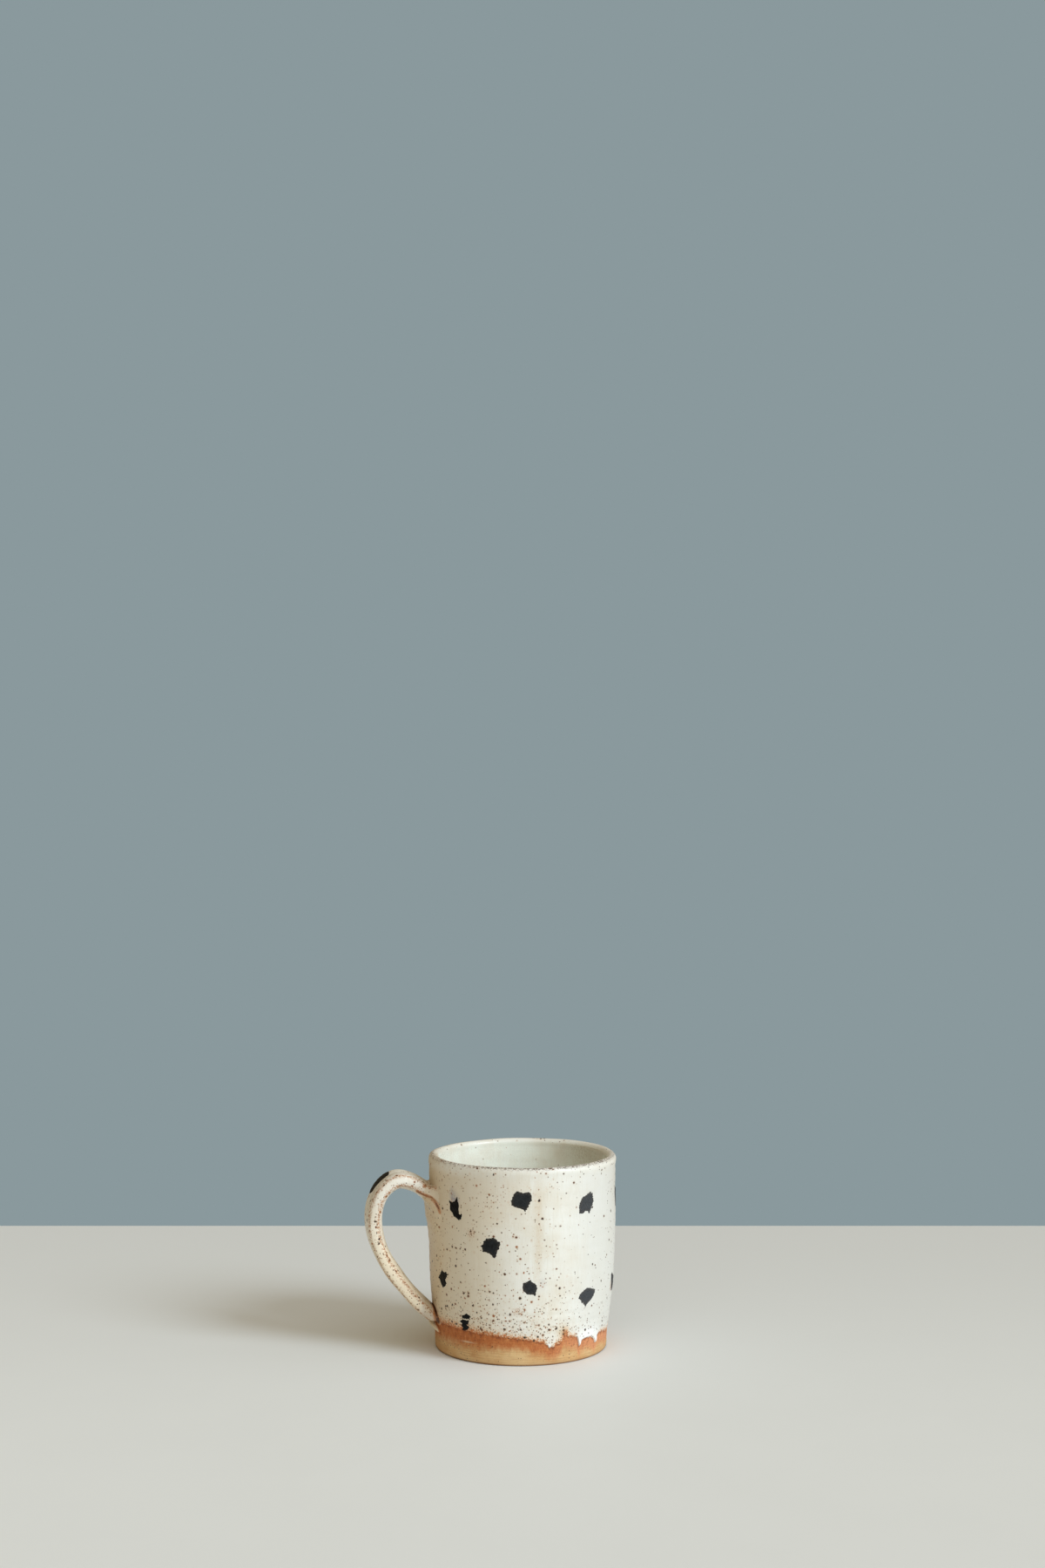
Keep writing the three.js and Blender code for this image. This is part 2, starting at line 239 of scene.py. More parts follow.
def clay_section():
    """The clay's edge in section as rows of distance along it, radius, height and the normal's two
    parts: from the foot's bevel up the outside, round the lip, down the inside and over the floor
    to the axis. The sides are smoothed, the lip is half a circle and the floor's corner a quarter."""
    triangles, normals = clay_triangles()
    top = triangles[:, :, 2].max()
    bevel = 0.7
    shoulder = top - LIP_DEPTH
    fine = 0.2

    def side_of(side, low):
        radii, heights = turned_line(triangles, normals, side)
        z = np.arange(low, shoulder, fine)
        return np.stack([soften(np.interp(z, heights, radii), 2.0 / fine), z], axis=1)

    outside = side_of(1, bevel)
    flat = (normals[:, 2] > 0.99) & (np.hypot(*triangles.mean(axis=1)[:, :2].T) < 20)
    floor = triangles[flat][:, :, 2].mean()
    inside = side_of(-1, floor + FLOOR_CORNER + 1)[::-1]
    half = (outside[-1, 0] - inside[0, 0]) / 2
    turn = np.linspace(0, math.pi, 40)
    lip = np.stack([outside[-1, 0] - half + half * np.cos(turn),
                    top - half + half * np.sin(turn)], axis=1)
    turn = np.linspace(0, -math.pi / 2, 40)
    corner = np.stack([inside[-1, 0] + FLOOR_CORNER * (np.cos(turn) - 1),
                       floor + FLOOR_CORNER * (np.sin(turn) + 1)], axis=1)
    line = evenly(np.vstack([outside, lip, inside, corner, [[0, floor]]]), 900)
    line = np.stack([soften(line[:, 0], 1.5), soften(line[:, 1], 1.5)], axis=1)
    line[-1, 0] = 0
    slope = np.gradient(line, axis=0)
    slope /= np.linalg.norm(slope, axis=1)[:, None]
    along = np.concatenate([[0], np.cumsum(np.linalg.norm(np.diff(line, axis=0), axis=1))])
    return np.column_stack([along, line, slope[:, 1], -slope[:, 0]])


SECTION = clay_section()
TOP_ROW = int(np.argmax(SECTION[:, 2]))


def along_outside(height):
    """Distance along the section to a height on the outside."""
    return np.interp(height, SECTION[:TOP_ROW, 2], SECTION[:TOP_ROW, 0])


def along_inside(height):
    """Distance along the section to a height on the inside."""
    return np.interp(height, SECTION[:TOP_ROW:-1, 2], SECTION[:TOP_ROW:-1, 0])


def shared_lean(points):
    """The mug's lean: each point shifts to the viewer's right in step with its height."""
    shift = bpy.context.scene.mug_sizes.lean / MM * (points[..., 2] / ROUND - 0.9)
    return points + np.stack([shift * RIGHT[0], shift * RIGHT[1], 0 * shift], axis=-1)


def hand_marks(turn, along, radius):
    """How far the thrown surface stands from its even form: rings that climb one step in each
    turn, a slow unevenness, a shallow groove under the lip, and a fade to nothing at the axis."""
    depth = bpy.context.scene.mug_sizes.ring_depth / MM
    inner = along > SECTION[TOP_ROW, 0]
    rings = np.sin(2 * math.pi * along / 4.7 + turn + 1.3 * np.sin(along / 17))
    rings = rings + 0.5 * np.sin(2 * math.pi * along / 2.6 - turn + 2.0 * np.sin(along / 9 + 1))
    slow = 0.12 * np.sin(2 * turn + 0.6) + 0.09 * np.sin(3 * turn + 2.1 + along / 31)
    slow = slow + 0.09 * np.sin(5 * turn - along / 13) + 0.05 * np.sin(9 * turn + along / 7)
    groove = 0.22 * np.exp(-((along - SECTION[TOP_ROW, 0] + 6.2) / 1.5) ** 2)
    return (depth * np.where(inner, 0.3, 1) * rings + slow - groove) * np.clip(radius / 9, 0, 1)


def body_point(turn, along, off):
    """The point at an angle round the mug and a distance along its section, `off` proud of the
    clay: radius and height from the section, moved along its normal by the hand marks as well."""
    turn, along, off = np.broadcast_arrays(turn, along, off)
    radius, height, out, up = (np.interp(along, SECTION[:, 0], SECTION[:, i]) for i in (1, 2, 3, 4))
    proud = off + hand_marks(turn, along, radius)
    across = np.maximum(radius + out * proud, 0)
    point = np.stack([across * np.cos(turn), across * np.sin(turn), height + up * proud], axis=-1)
    return shared_lean(point)


def turn_to_round(turn):
    """Distance round the wall from the front for an angle, from half way round to half way."""
    return (np.mod(turn - FRONT + math.pi, 2 * math.pi) - math.pi) * ROUND


def glaze_edge(turn):
    """Height of the outer glaze's lower edge: the listed line, joined round the back, with a
    ragged hem of short waves."""
    places = np.array(GLAZE_EDGE)
    distance = turn_to_round(turn)
    whole = 2 * math.pi * ROUND
    line = np.interp(distance, places[:, 0], places[:, 1], period=whole)
    x, y = ROUND * np.cos(turn), ROUND * np.sin(turn)
    return line + 0.22 * waves(4, 9, (1.1, 4.5), x, y) + 0.12 * waves(5, 6, (0.7, 1.2), x, y)


def patches(places, distance, height):
    """Sum of soft spots, each a bell curve of its own half width and half height."""
    total = 0
    for at, z, wide, tall, strength in places:
        gap = np.mod(distance - at + math.pi * ROUND, 2 * math.pi * ROUND) - math.pi * ROUND
        total = total + strength * np.exp(-((gap / wide) ** 2 + ((height - z) / tall) ** 2))
    return total


def nearness(points, path, reach):
    """1 on a path of points, falling evenly to 0 at `reach` from it."""
    flat = points.reshape(-1, 3)
    close = (flat[:, 0] < path[:, 0].max() + reach) & (flat[:, 1] < 26) & (flat[:, 1] > -26)
    gap = np.full(len(flat), reach)
    gap[close] = np.linalg.norm(flat[close][:, None] - path[None], axis=2).min(axis=1)
    return np.clip(1 - gap / reach, 0, 1).reshape(points.shape[:-1])


# The strap

STRAP_PATH = evenly(spline(STRAP_LINE), 800)
STRAP_LENGTH = np.linalg.norm(np.diff(STRAP_PATH, axis=0), axis=1).sum()
STRAP_ROUND = evenly(
    spline(STRAP_SECTION + [(-a, b) for a, b in STRAP_SECTION[-2:0:-1]], closed=True), 721)


def strap_surface(u, v, off):
    """The strap's face at u along it and v round its section, `off` proud of it: the section's
    point, in half widths and half thicknesses, carried along the middle line. The lower end is
    folded level by a soft maximum of the height."""
    u, v, off = np.broadcast_arrays(u, v, off)
    at = np.linspace(0, 1, len(STRAP_PATH))
    slope = np.gradient(STRAP_PATH, axis=0)
    slope /= np.linalg.norm(slope, axis=1)[:, None]
    x, z, run, rise = (np.interp(u, at, column) for column in (*STRAP_PATH.T, *slope.T))
    way = np.linspace(0, 1, len(STRAP_ROUND))
    turned = np.gradient(STRAP_ROUND, axis=0)
    across, outward, d_across, d_outward = (
        np.interp(v, way, column) for column in (*STRAP_ROUND.T, *turned.T))
    wide = 9.7 - 1.4 * u + 3.2 * np.maximum(0, 1 - u / 0.15) ** 2 + 0.18 * np.sin(19 * u + 1)
    thick = 3.55 - 0.3 * u + 0.22 * np.sin(math.pi * u) + 0.08 * np.sin(31 * u)
    side, out = -d_outward * thick, d_across * wide
    size = np.hypot(side, out)
    side, out = side / size, out / size
    outward = outward * thick + out * off + 0.06 * np.sin(44 * u + 5 * across)
    points = np.stack([x + rise * outward, -(across * wide + side * off), z - run * outward], axis=-1)
    fold = STRAP_END - off
    points[..., 2] = fold + 0.45 * np.logaddexp(0, (points[..., 2] - fold) / 0.45)
    normal = np.stack([rise * out, -side, -run * out], axis=-1)
    return points, normal


def wall_gap(points, off):
    """How far points stand out from the wall's face."""
    radius = np.interp(points[..., 2], SECTION[:TOP_ROW, 2], SECTION[:TOP_ROW, 1])
    return np.hypot(points[..., 0], points[..., 1]) - radius - off


def strap_ends(v, gap, off, coat):
    """u near each end of the strap, for each v, where its face stands `gap` off the wall's face."""
    u = np.linspace(0, 1, 1200)[:, None]
    points, _ = strap_surface(u, v[None], off)
    clear = wall_gap(points, coat) > gap[None]
    middle = len(u) // 2
    first = middle - np.argmin(clear[middle::-1], axis=0)
    last = middle + np.argmin(clear[middle:], axis=0)
    return u[first, 0], u[last, 0]


def section_place(v):
    """Across and outward for each v, in half widths and half thicknesses."""
    way = np.linspace(0, 1, len(STRAP_ROUND))
    return (np.interp(v, way, column) for column in STRAP_ROUND.T)


def fillet_size(v, lower):
    """Radius of the round between strap and wall for each v: small above, wide at the sides."""
    across, outward = section_place(v)
    sides = ease_step(np.abs(across), 0.55, 0.97)
    if lower:
        return 0.7 + 1.6 * sides * ease_step(outward, -0.9, 0.5)
    return np.where(outward > 0, 1.6, 0.9) + sides * np.where(outward > 0, 4.2, 2.4 + 1.8 * outward)


def fillet_rows(v, ends, lower, coat, steps):
    """Rows of the round that joins strap and wall: a bent line with its ends on the strap and on
    the wall and its control point where the strap would meet the wall, then one row tucked
    under the wall's glaze."""
    size = fillet_size(v, lower)
    start, _ = strap_surface(ends(v, size), v, 0)
    corner, normal = strap_surface(ends(v, 0 * size), v, 0)
    radial = corner * [1, 1, 0]
    radial /= np.linalg.norm(radial, axis=1)[:, None]
    way = normal - (normal * radial).sum(axis=1)[:, None] * radial
    way /= np.linalg.norm(way, axis=1)[:, None]

    def on_wall(reach, off):
        point = corner + way * (size * reach)[:, None]
        turn = np.arctan2(point[:, 1], point[:, 0])
        low = along_outside(np.maximum(point[:, 2], 8))
        return body_point(turn, low, coat + off)

    start, corner = shared_lean(start), shared_lean(corner)
    foot, tucked = on_wall(1.0, -0.12), on_wall(1.25, -0.5)
    t = np.linspace(0, 1, steps)[:, None, None]
    bent = (1 - t) ** 2 * start + 2 * t * (1 - t) * corner + t**2 * foot
    return np.concatenate([bent[1:], tucked[None]])


def strap_coat(coat, rows=190, columns=112):
    """The glazed strap as rows round its section, from the tucked row at the upper wall to the
    one at the lower wall, with the u and v of each point."""
    v = np.arange(columns) / columns
    size_up, size_low = fillet_size(v, False), fillet_size(v, True)
    first, _ = strap_ends(v, size_up, 0, coat)
    _, last = strap_ends(v, size_low, 0, coat)
    t = np.linspace(0, 1, rows)[:, None]
    u = first + (last - first) * t
    points, _ = strap_surface(u, v[None], 0)
    upper = fillet_rows(v, lambda v, gap: strap_ends(v, gap, 0, coat)[0], False, coat, 14)
    lower = fillet_rows(v, lambda v, gap: strap_ends(v, gap, 0, coat)[1], True, coat, 10)
    u = np.concatenate([np.repeat(u[:1], len(upper), 0), u, np.repeat(u[-1:], len(lower), 0)])
    return np.concatenate([upper[::-1], shared_lean(points), lower]), u, np.broadcast_to(v, u.shape)


def crease_mark(points, coat, reach, low_reach):
    """How near points are to the creases beside the strap, from 0 at a reach to 1: the listed one
    on both sides of its root, with depth counting for a third, and the one round its lower end."""
    squash = np.array([1, 0.33, 1])
    root = evenly(np.array(ROOT_CREASE), 60)
    v = np.arange(160) / 160
    _, last = strap_ends(v, 0 * v, 0, coat)
    lower = shared_lean(strap_surface(last, v, 0)[0])
    near = nearness(points, lower, low_reach)
    for side in (1, -1):
        near = np.maximum(near, nearness(points * squash, root * squash * [1, side, 1], reach))
    return near


# Meshes

def full_turn(columns):
    """Evenly spaced angles, once round."""
    return np.arange(columns) / columns * 2 * math.pi


def grid_faces(rows, columns, wrap_rows=False):
    """Four corner numbers for each face of a grid whose columns go all the way round."""
    row = np.arange(rows if wrap_rows else rows - 1)[:, None]
    column = np.arange(columns)[None]
    after, beside = (row + 1) % rows, (column + 1) % columns
    corners = [row * columns + column, row * columns + beside,
               after * columns + beside, after * columns + column]
    return np.stack(corners, axis=-1).reshape(-1, 4)


def pole_faces(pole, row, columns):
    """Triangles from a single point to a row of the grid."""
    column = np.arange(columns)
    return np.stack([np.full(columns, pole), row * columns + (column + 1) % columns,
                     row * columns + column], axis=-1)


def capped_faces(rows, columns):
    """Faces of a grid closed by a point before its first row and one after its last, which follow
    the grid's own points."""
    count = rows * columns
    return [grid_faces(rows, columns), pole_faces(count, 0, columns),
            pole_faces(count + 1, rows - 1, columns)[:, ::-1]]


def make_piece(name, points, faces, finish, nodes, marks=None):
    """A closed piece from points in millimetres and arrays of face corners, with faces turned to
    look out, its marks as attributes, riding on the frame in place of its nodes."""
    points = np.asarray(points, float).reshape(-1, 3)
    volume = 0
    for part in faces:
        for k in range(1, part.shape[1] - 1):
            a, b, c = points[part[:, 0]], points[part[:, k]], points[part[:, k + 1]]
            volume += (a * np.cross(b, c)).sum()
    if volume < 0:
        faces = [part[:, ::-1] for part in faces]
    corners = np.concatenate([part.ravel() for part in faces])
    counts = np.concatenate([np.full(len(part), part.shape[1]) for part in faces])
    mesh = bpy.data.meshes.new(name)
    mesh.vertices.add(len(points))
    mesh.vertices.foreach_set("co", (points * MM).ravel())
    mesh.loops.add(len(corners))
    mesh.loops.foreach_set("vertex_index", corners.astype(np.int32))
    mesh.polygons.add(len(counts))
    mesh.polygons.foreach_set("loop_start", (np.cumsum(counts) - counts).astype(np.int32))
    mesh.update(calc_edges=True)
    mesh.shade_smooth()
    for label, values in (marks or {}).items():
        layer = mesh.attributes.new(label, "FLOAT", "POINT")
        layer.data.foreach_set("value", np.asarray(values, np.float32).ravel())
    piece = bpy.data.objects.new(name, mesh)
    bpy.context.scene.collection.objects.link(piece)
    mesh.materials.append(finish)
    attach(piece, "root")
    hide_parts(*nodes)
    return piece


# Shader nodes

def node(tree, kind, values=(), **settings):
    """A shader node with its settings, and its inputs by name or number: each a plain value or
    another node's output."""
    made = tree.nodes.new("ShaderNode" + kind)
    for label, value in settings.items():
        setattr(made, label, value)
    for label, value in dict(values).items():
        if isinstance(value, bpy.types.NodeSocket):
            tree.links.new(value, made.inputs[label])
        else:
            made.inputs[label].default_value = value
    return made


def reckon(tree, operation, *values):
    """The result of a sum on one, two or three values."""
    return node(tree, "Math", enumerate(values), operation=operation).outputs[0]


def ease(tree, value, start, end, low=0.0, high=1.0):
    """Goes smoothly from low to high as the value goes from start to end."""
    ends = {"Value": value, "From Min": start, "From Max": end, "To Min": low, "To Max": high}
    return node(tree, "MapRange", ends, interpolation_type="SMOOTHSTEP").outputs[0]


def times(tree, first, *others):
    """The product of the values."""
    for other in others:
        first = reckon(tree, "MULTIPLY", first, other)
    return first


def plus(tree, first, *others):
    """The sum of the values."""
    for other in others:
        first = reckon(tree, "ADD", first, other)
    return first


def swing(tree, value, size):
    """A value around one half, as one around nothing times a size."""
    return times(tree, reckon(tree, "SUBTRACT", value, 0.5), size)


def tint(tree, amount, first, second):
    """The first colour, going to the second as the amount goes from 0 to 1."""
    return node(tree, "MixRGB", {"Fac": amount, "Color1": first, "Color2": second}).outputs[0]


def layered(tree, colour, layers):
    """The colour with layers over it in turn, each as how much of it shows and its colour."""
    for amount, over in layers:
        colour = tint(tree, amount, colour, over)
    return colour


def noise(tree, vector, scale, detail=2.0, roughness=0.5):
    """Cloudy noise around one half."""
    values = {"Vector": vector, "Scale": scale, "Detail": detail, "Roughness": roughness}
    return node(tree, "TexNoise", values).outputs[0]


def stretch(tree, vector, x, y, z):
    """The vector, each part multiplied."""
    return node(tree, "VectorMath", {0: vector, 1: (x, y, z)}, operation="MULTIPLY").outputs[0]


def mark(tree, label):
    """A value painted on the piece's points."""
    return node(tree, "Attribute", attribute_name=label).outputs["Fac"]


def millimetres(tree):
    """Object coordinates in millimetres."""
    place = node(tree, "TexCoord").outputs["Object"]
    return stretch(tree, place, 1 / MM, 1 / MM, 1 / MM)


def rightwards(tree, vector):
    """How far a point lies to the viewer's right of the mug's axis, in millimetres."""
    return node(tree, "VectorMath", {0: vector, 1: (RIGHT[0], RIGHT[1], 0)},
                operation="DOT_PRODUCT").outputs["Value"]


def shader_group(label, inputs, outputs, fill):
    """A named group of nodes, built once: `fill` gets its tree and inputs and returns its results."""
    tree = bpy.data.node_groups.get(label)
    if tree is None:
        tree = bpy.data.node_groups.new(label, "ShaderNodeTree")
        for name, kind, default in inputs:
            socket = tree.interface.new_socket(name, in_out="INPUT", socket_type="NodeSocket" + kind)
            if default is not None:
                socket.default_value = default
        for name in outputs:
            tree.interface.new_socket(name, in_out="OUTPUT", socket_type="NodeSocketFloat")
        given = tree.nodes.new("NodeGroupInput").outputs
        results = tree.nodes.new("NodeGroupOutput").inputs
        for name, value in fill(tree, given).items():
            tree.links.new(value, results[name])
    return tree


def iron_specks():
    """Round iron specks, a share of the cells of a scattered pattern, each with its own size:
    the specks, the soft halo burnt round them, and a tone for each."""
    def fill(tree, given):
        bend = node(tree, "TexNoise", {"Vector": given["Vector"], "Scale": 1.9, "Detail": 1.0}).outputs[1]
        bent = stretch(tree, bend, 0.5, 0.5, 0.5)
        moved = node(tree, "VectorMath", {0: given["Vector"], 1: bent}, operation="ADD").outputs[0]
        cells = node(tree, "TexVoronoi", {"Vector": moved, "Scale": given["Scale"]})
        parts = node(tree, "SeparateColor", {0: cells.outputs["Color"]}).outputs
        there = reckon(tree, "LESS_THAN", parts[0], given["Amount"])
        size = times(tree, given["Size"], ease(tree, parts[1], 0.0, 1.0, 0.35, 1.0))
        away = reckon(tree, "DIVIDE", cells.outputs["Distance"], size)
        return {"Speck": times(tree, ease(tree, away, 0.65, 1.05, 1.0, 0.0), there),
                "Halo": times(tree, ease(tree, away, 0.7, 2.1, 1.0, 0.0), there), "Tone": parts[2]}
    return shader_group("iron_specks", [("Vector", "Vector", None), ("Scale", "Float", 0.5),
                                        ("Amount", "Float", 0.2), ("Size", "Float", 0.2)],
                        ("Speck", "Halo", "Tone"), fill)


def glaze_surface():
    """How a dipped glaze varies: broad clouds of thicker coat, runs and fine strokes drawn down
    the wall, a fine mottle, and the height of its small dimples."""
    def fill(tree, given):
        vector = given["Vector"]
        fine = times(tree, noise(tree, vector, 3.4, 2.0, 0.5), given["Grit"])
        return {"Clouds": noise(tree, vector, 0.055, 3.0, 0.6),
                "Runs": noise(tree, stretch(tree, vector, 1.0, 1.0, 0.17), 0.4, 3.0, 0.6),
                "Strokes": noise(tree, stretch(tree, vector, 1.0, 1.0, 0.06), 1.7, 2.0, 0.6),
                "Mottle": noise(tree, vector, 1.3, 4.0, 0.65),
                "Height": plus(tree, noise(tree, vector, 0.9, 2.0, 0.5), fine)}
    return shader_group("glaze_surface", [("Vector", "Vector", None), ("Grit", "Float", 0.3)],
                        ("Clouds", "Runs", "Strokes", "Mottle", "Height"), fill)


def glaze_break():
    """Where a coat thins out over iron clay: the thinness roughened by noise, as three masks from
    the first warm blush through orange to the burnt edge."""
    def fill(tree, given):
        ragged = swing(tree, noise(tree, given["Vector"], 1.1, 4.0, 0.75), given["Rough"])
        thin = plus(tree, given["Thin"], ragged)
        return {"Blush": ease(tree, thin, 0.5, 0.9), "Orange": ease(tree, thin, 0.74, 0.96),
                "Burnt": ease(tree, thin, 1.08, 1.3)}
    return shader_group("glaze_break", [("Vector", "Vector", None), ("Thin", "Float", 0.0),
                                        ("Rough", "Float", 0.7)], ("Blush", "Orange", "Burnt"), fill)


def clay_grain():
    """Bare stoneware: broad flashes of colour, lines drawn round by trimming, and fine grit, with
    the height of lines and grit."""
    def fill(tree, given):
        vector = given["Vector"]
        lines = noise(tree, stretch(tree, vector, 0.05, 0.05, 1.0), 1.9, 3.0, 0.7)
        grit = noise(tree, vector, 2.6, 4.0, 0.75)
        return {"Flash": noise(tree, stretch(tree, vector, 1.0, 1.0, 1.8), 0.06, 3.0, 0.6),
                "Lines": lines, "Grit": grit, "Height": plus(tree, times(tree, lines, 0.8), grit)}
    return shader_group("clay_grain", [("Vector", "Vector", None)],
                        ("Flash", "Lines", "Grit", "Height"), fill)


def start_material(label):
    """A new material, its emptied tree and the place of each point in millimetres."""
    made = bpy.data.materials.new(label)
    made.use_nodes = True
    made.node_tree.nodes.clear()
    return made, made.node_tree, millimetres(made.node_tree)


def finish_material(tree, colour, roughness, height, depth, strength=1.0, ior=1.5):
    """The surface shader: colour and roughness that vary, and a bump from a height."""
    bump = node(tree, "Bump", {"Height": height, "Distance": depth * MM, "Strength": strength})
    shader = node(tree, "BsdfPrincipled", {
        "Base Color": colour, "Roughness": roughness, "Normal": bump.outputs[0], "IOR": ior})
    result = node(tree, "OutputMaterial")
    tree.links.new(shader.outputs[0], result.inputs[0])


def use(tree, group, **inputs):
    """The outputs of a node group for its inputs."""
    return node(tree, "Group", inputs, node_tree=group).outputs


def rgba(colour):
    """A colour of three parts with full alpha."""
    return (*colour, 1.0)


def tone(red, green, blue):
    """A colour from 0 to 255 on screen, as a shader's socket takes it."""
    return rgba(srgb(red, green, blue))


def glaze_tones(tree, surface, base, warm, stroked):
    """The base colour with warmer clouds, whiter runs, a mottle, and thin strokes as `stroked` says."""
    return layered(tree, base, [
        (ease(tree, surface["Clouds"], 0.38, 0.68, 0.0, 0.7), warm),
        (ease(tree, surface["Runs"], 0.5, 0.78, 0.0, 0.45), tone(240, 240, 233)),
        (times(tree, ease(tree, surface["Strokes"], 0.48, 0.72), stroked), tone(206, 193, 164)),
        (ease(tree, surface["Mottle"], 0.55, 0.8, 0.0, 0.35), warm)])


def painted_light_and_shade_by_side(tree, vector, inner, colour):
    """Painted light and shade on the glaze, all below the lip and outside: painted shade warms and
    darkens the wall towards the strap, painted shade greys the lit wall on the other side, and
    painted light warms and brightens the strap towards its foot."""
    right, tall = rightwards(tree, vector), node(tree, "SeparateXYZ", {"Vector": vector}).outputs["Z"]
    outer = times(tree, ease(tree, tall, 89, 83), ease(tree, inner, 0, 0.3, 1, 0))
    painted_shade_near_strap = times(tree, ease(tree, right, 6, -40, 0.0, 0.85), ease(tree, right, -47, -44))
    painted_light_on_strap = times(tree, ease(tree, right, -45, -48), ease(tree, tall, 74, 40, 0.12, 0.8))
    return layered(tree, colour, [
        # painted shade, warmer and darker, on the wall towards the strap
        (times(tree, painted_shade_near_strap, outer), tone(214, 199, 172)),
        # painted shade greying the lit wall to the right
        (times(tree, ease(tree, right, 14, 36, 0.0, 0.75), outer), tone(217, 216, 208)),
        # painted light, warmer and brighter, on the strap towards its foot
        (painted_light_on_strap, tone(250, 235, 206))])


def speckled(tree, vector, crowd, right, colour):
    """The glaze with iron specks in two sizes, as crowded as `crowd` says, dark or rusty and with
    fainter halos to the right, and the mask of the small ones."""
    iron = ease(tree, right, 8, 34, 1.0, 0.35)
    for scale, size, share, depth in ((0.6, 0.43, 0.55, 1.0), (1.15, 0.42, 0.75, 0.9)):
        specks = use(tree, iron_specks(), Vector=vector, Scale=scale, Size=size,
                     Amount=times(tree, crowd, share))
        rusty = times(tree, ease(tree, specks["Tone"], 0.35, 1.0), iron)
        burnt = tint(tree, rusty, tone(36, 24, 15), tone(146, 82, 34))
        colour = layered(tree, colour, [
            (times(tree, specks["Halo"], iron, 0.3), tone(196, 150, 98)),
            (times(tree, specks["Speck"], depth), burnt)])
    return colour, specks["Speck"]


def wall_glaze_finish(colours):
    """Satin cream glaze: clouds and runs of warmer and whiter coat, iron specks in two sizes,
    rust where it thins to its edge, at the lip and along ridges, and dark creases at the joins,
    with painted light and shade from side to side and stains that carry painted shade."""
    made, tree, vector = start_material("stoneware_wall_glaze")
    ridge, stain, thin, crease, smear, lip, inner, patch = (mark(tree, label) for label in (
        "ridge", "stain", "thin", "crease", "smear", "lip", "inner", "specks"))
    surface = use(tree, glaze_surface(), Vector=vector, Grit=0.35)
    mottle = surface["Mottle"]
    base = tint(tree, inner, rgba(colours.glaze_cream), rgba(colours.liner))
    stroked = ease(tree, inner, 0, 1, 0.22, 0.08)
    colour = glaze_tones(tree, surface, base, rgba(colours.glaze_warm), stroked)
    # painted light and shade from side to side
    colour = painted_light_and_shade_by_side(tree, vector, inner, colour)
    broken = use(tree, glaze_break(), Vector=vector, Thin=thin, Rough=1.35)
    colour = layered(tree, colour, [
        (mark(tree, "thick"), tone(243, 243, 240)),
        # stains and painted shade: the broad warm patch over the left side outside, and inside the olive
        # stain strengthened as painted shade
        (times(tree, stain, ease(tree, mottle, 0.35, 0.7, 0.5, 1.0)),
         tint(tree, inner, tone(203, 178, 140), tone(*OLIVE_STAIN_AND_SHADE))),
        (times(tree, smear, ease(tree, mottle, 0.35, 0.6, 0.3, 0.9)), tone(146, 142, 150)),
        (times(tree, broken["Blush"], 0.75), tone(222, 184, 140)),
        (broken["Orange"], tone(190, 112, 58)),
        (broken["Burnt"], tone(140, 76, 36))])

    crowd = plus(tree, patch, times(tree, lip, 0.6), times(tree, ridge, 0.75),
                 times(tree, ease(tree, thin, 0.0, 0.6), 0.3))
    colour, small = speckled(tree, vector, crowd, rightwards(tree, vector), colour)

    edge = plus(tree, crease, times(tree, swing(tree, mottle, 0.8), crease))
    worn = ease(tree, mottle, 0.46, 0.54)
    colour = layered(tree, colour, [
        (ease(tree, edge, 0.1, 0.5, 0.0, 0.85), tone(186, 122, 68)),
        (ease(tree, edge, 0.42, 0.74, 0.0, 0.95), tone(66, 34, 16)),
        (times(tree, lip, worn), tone(74, 46, 28)),
        (times(tree, ridge, worn, 0.8), tone(172, 108, 52))])

    dull = times(tree, ease(tree, mottle, 0.2, 0.8, 0.30, 0.46), ease(tree, inner, 0, 1, 1.0, 0.75))
    dull = plus(tree, dull, times(tree, broken["Orange"], 0.25))
    height = reckon(tree, "SUBTRACT", surface["Height"], times(tree, small, 0.5))
    finish_material(tree, colour, dull, height, 0.09, 0.55)
    return made


def liner_finish(colours):
    """Glossier liner: pale greenish white, stained in a patch under the lip that is partly painted
    shade, with a few specks, and greyer where it pools in the corner of the floor."""
    made, tree, vector = start_material("stoneware_liner_glaze")
    surface = use(tree, glaze_surface(), Vector=vector, Grit=0.2)
    mottle = surface["Mottle"]
    colour = glaze_tones(tree, surface, rgba(colours.liner), rgba(colours.glaze_warm), 0.08)
    specks = use(tree, iron_specks(), Vector=vector, Scale=0.5, Amount=0.1, Size=0.17)
    colour = layered(tree, colour, [
        # the olive stain under the lip, strengthened as painted shade on the inside wall away from the
        # light
        (times(tree, mark(tree, "stain"), ease(tree, mottle, 0.35, 0.7, 0.5, 1.0)), tone(*OLIVE_STAIN_AND_SHADE)),
        (times(tree, mark(tree, "pool"), 0.6), tone(172, 178, 150)),
        (times(tree, specks["Halo"], 0.3), tone(190, 160, 110)),
        (times(tree, specks["Speck"], 0.8), tone(92, 62, 36))])
    dull = ease(tree, mottle, 0.2, 0.8, 0.22, 0.34)
    finish_material(tree, colour, dull, surface["Height"], 0.07, 0.5)
    return made


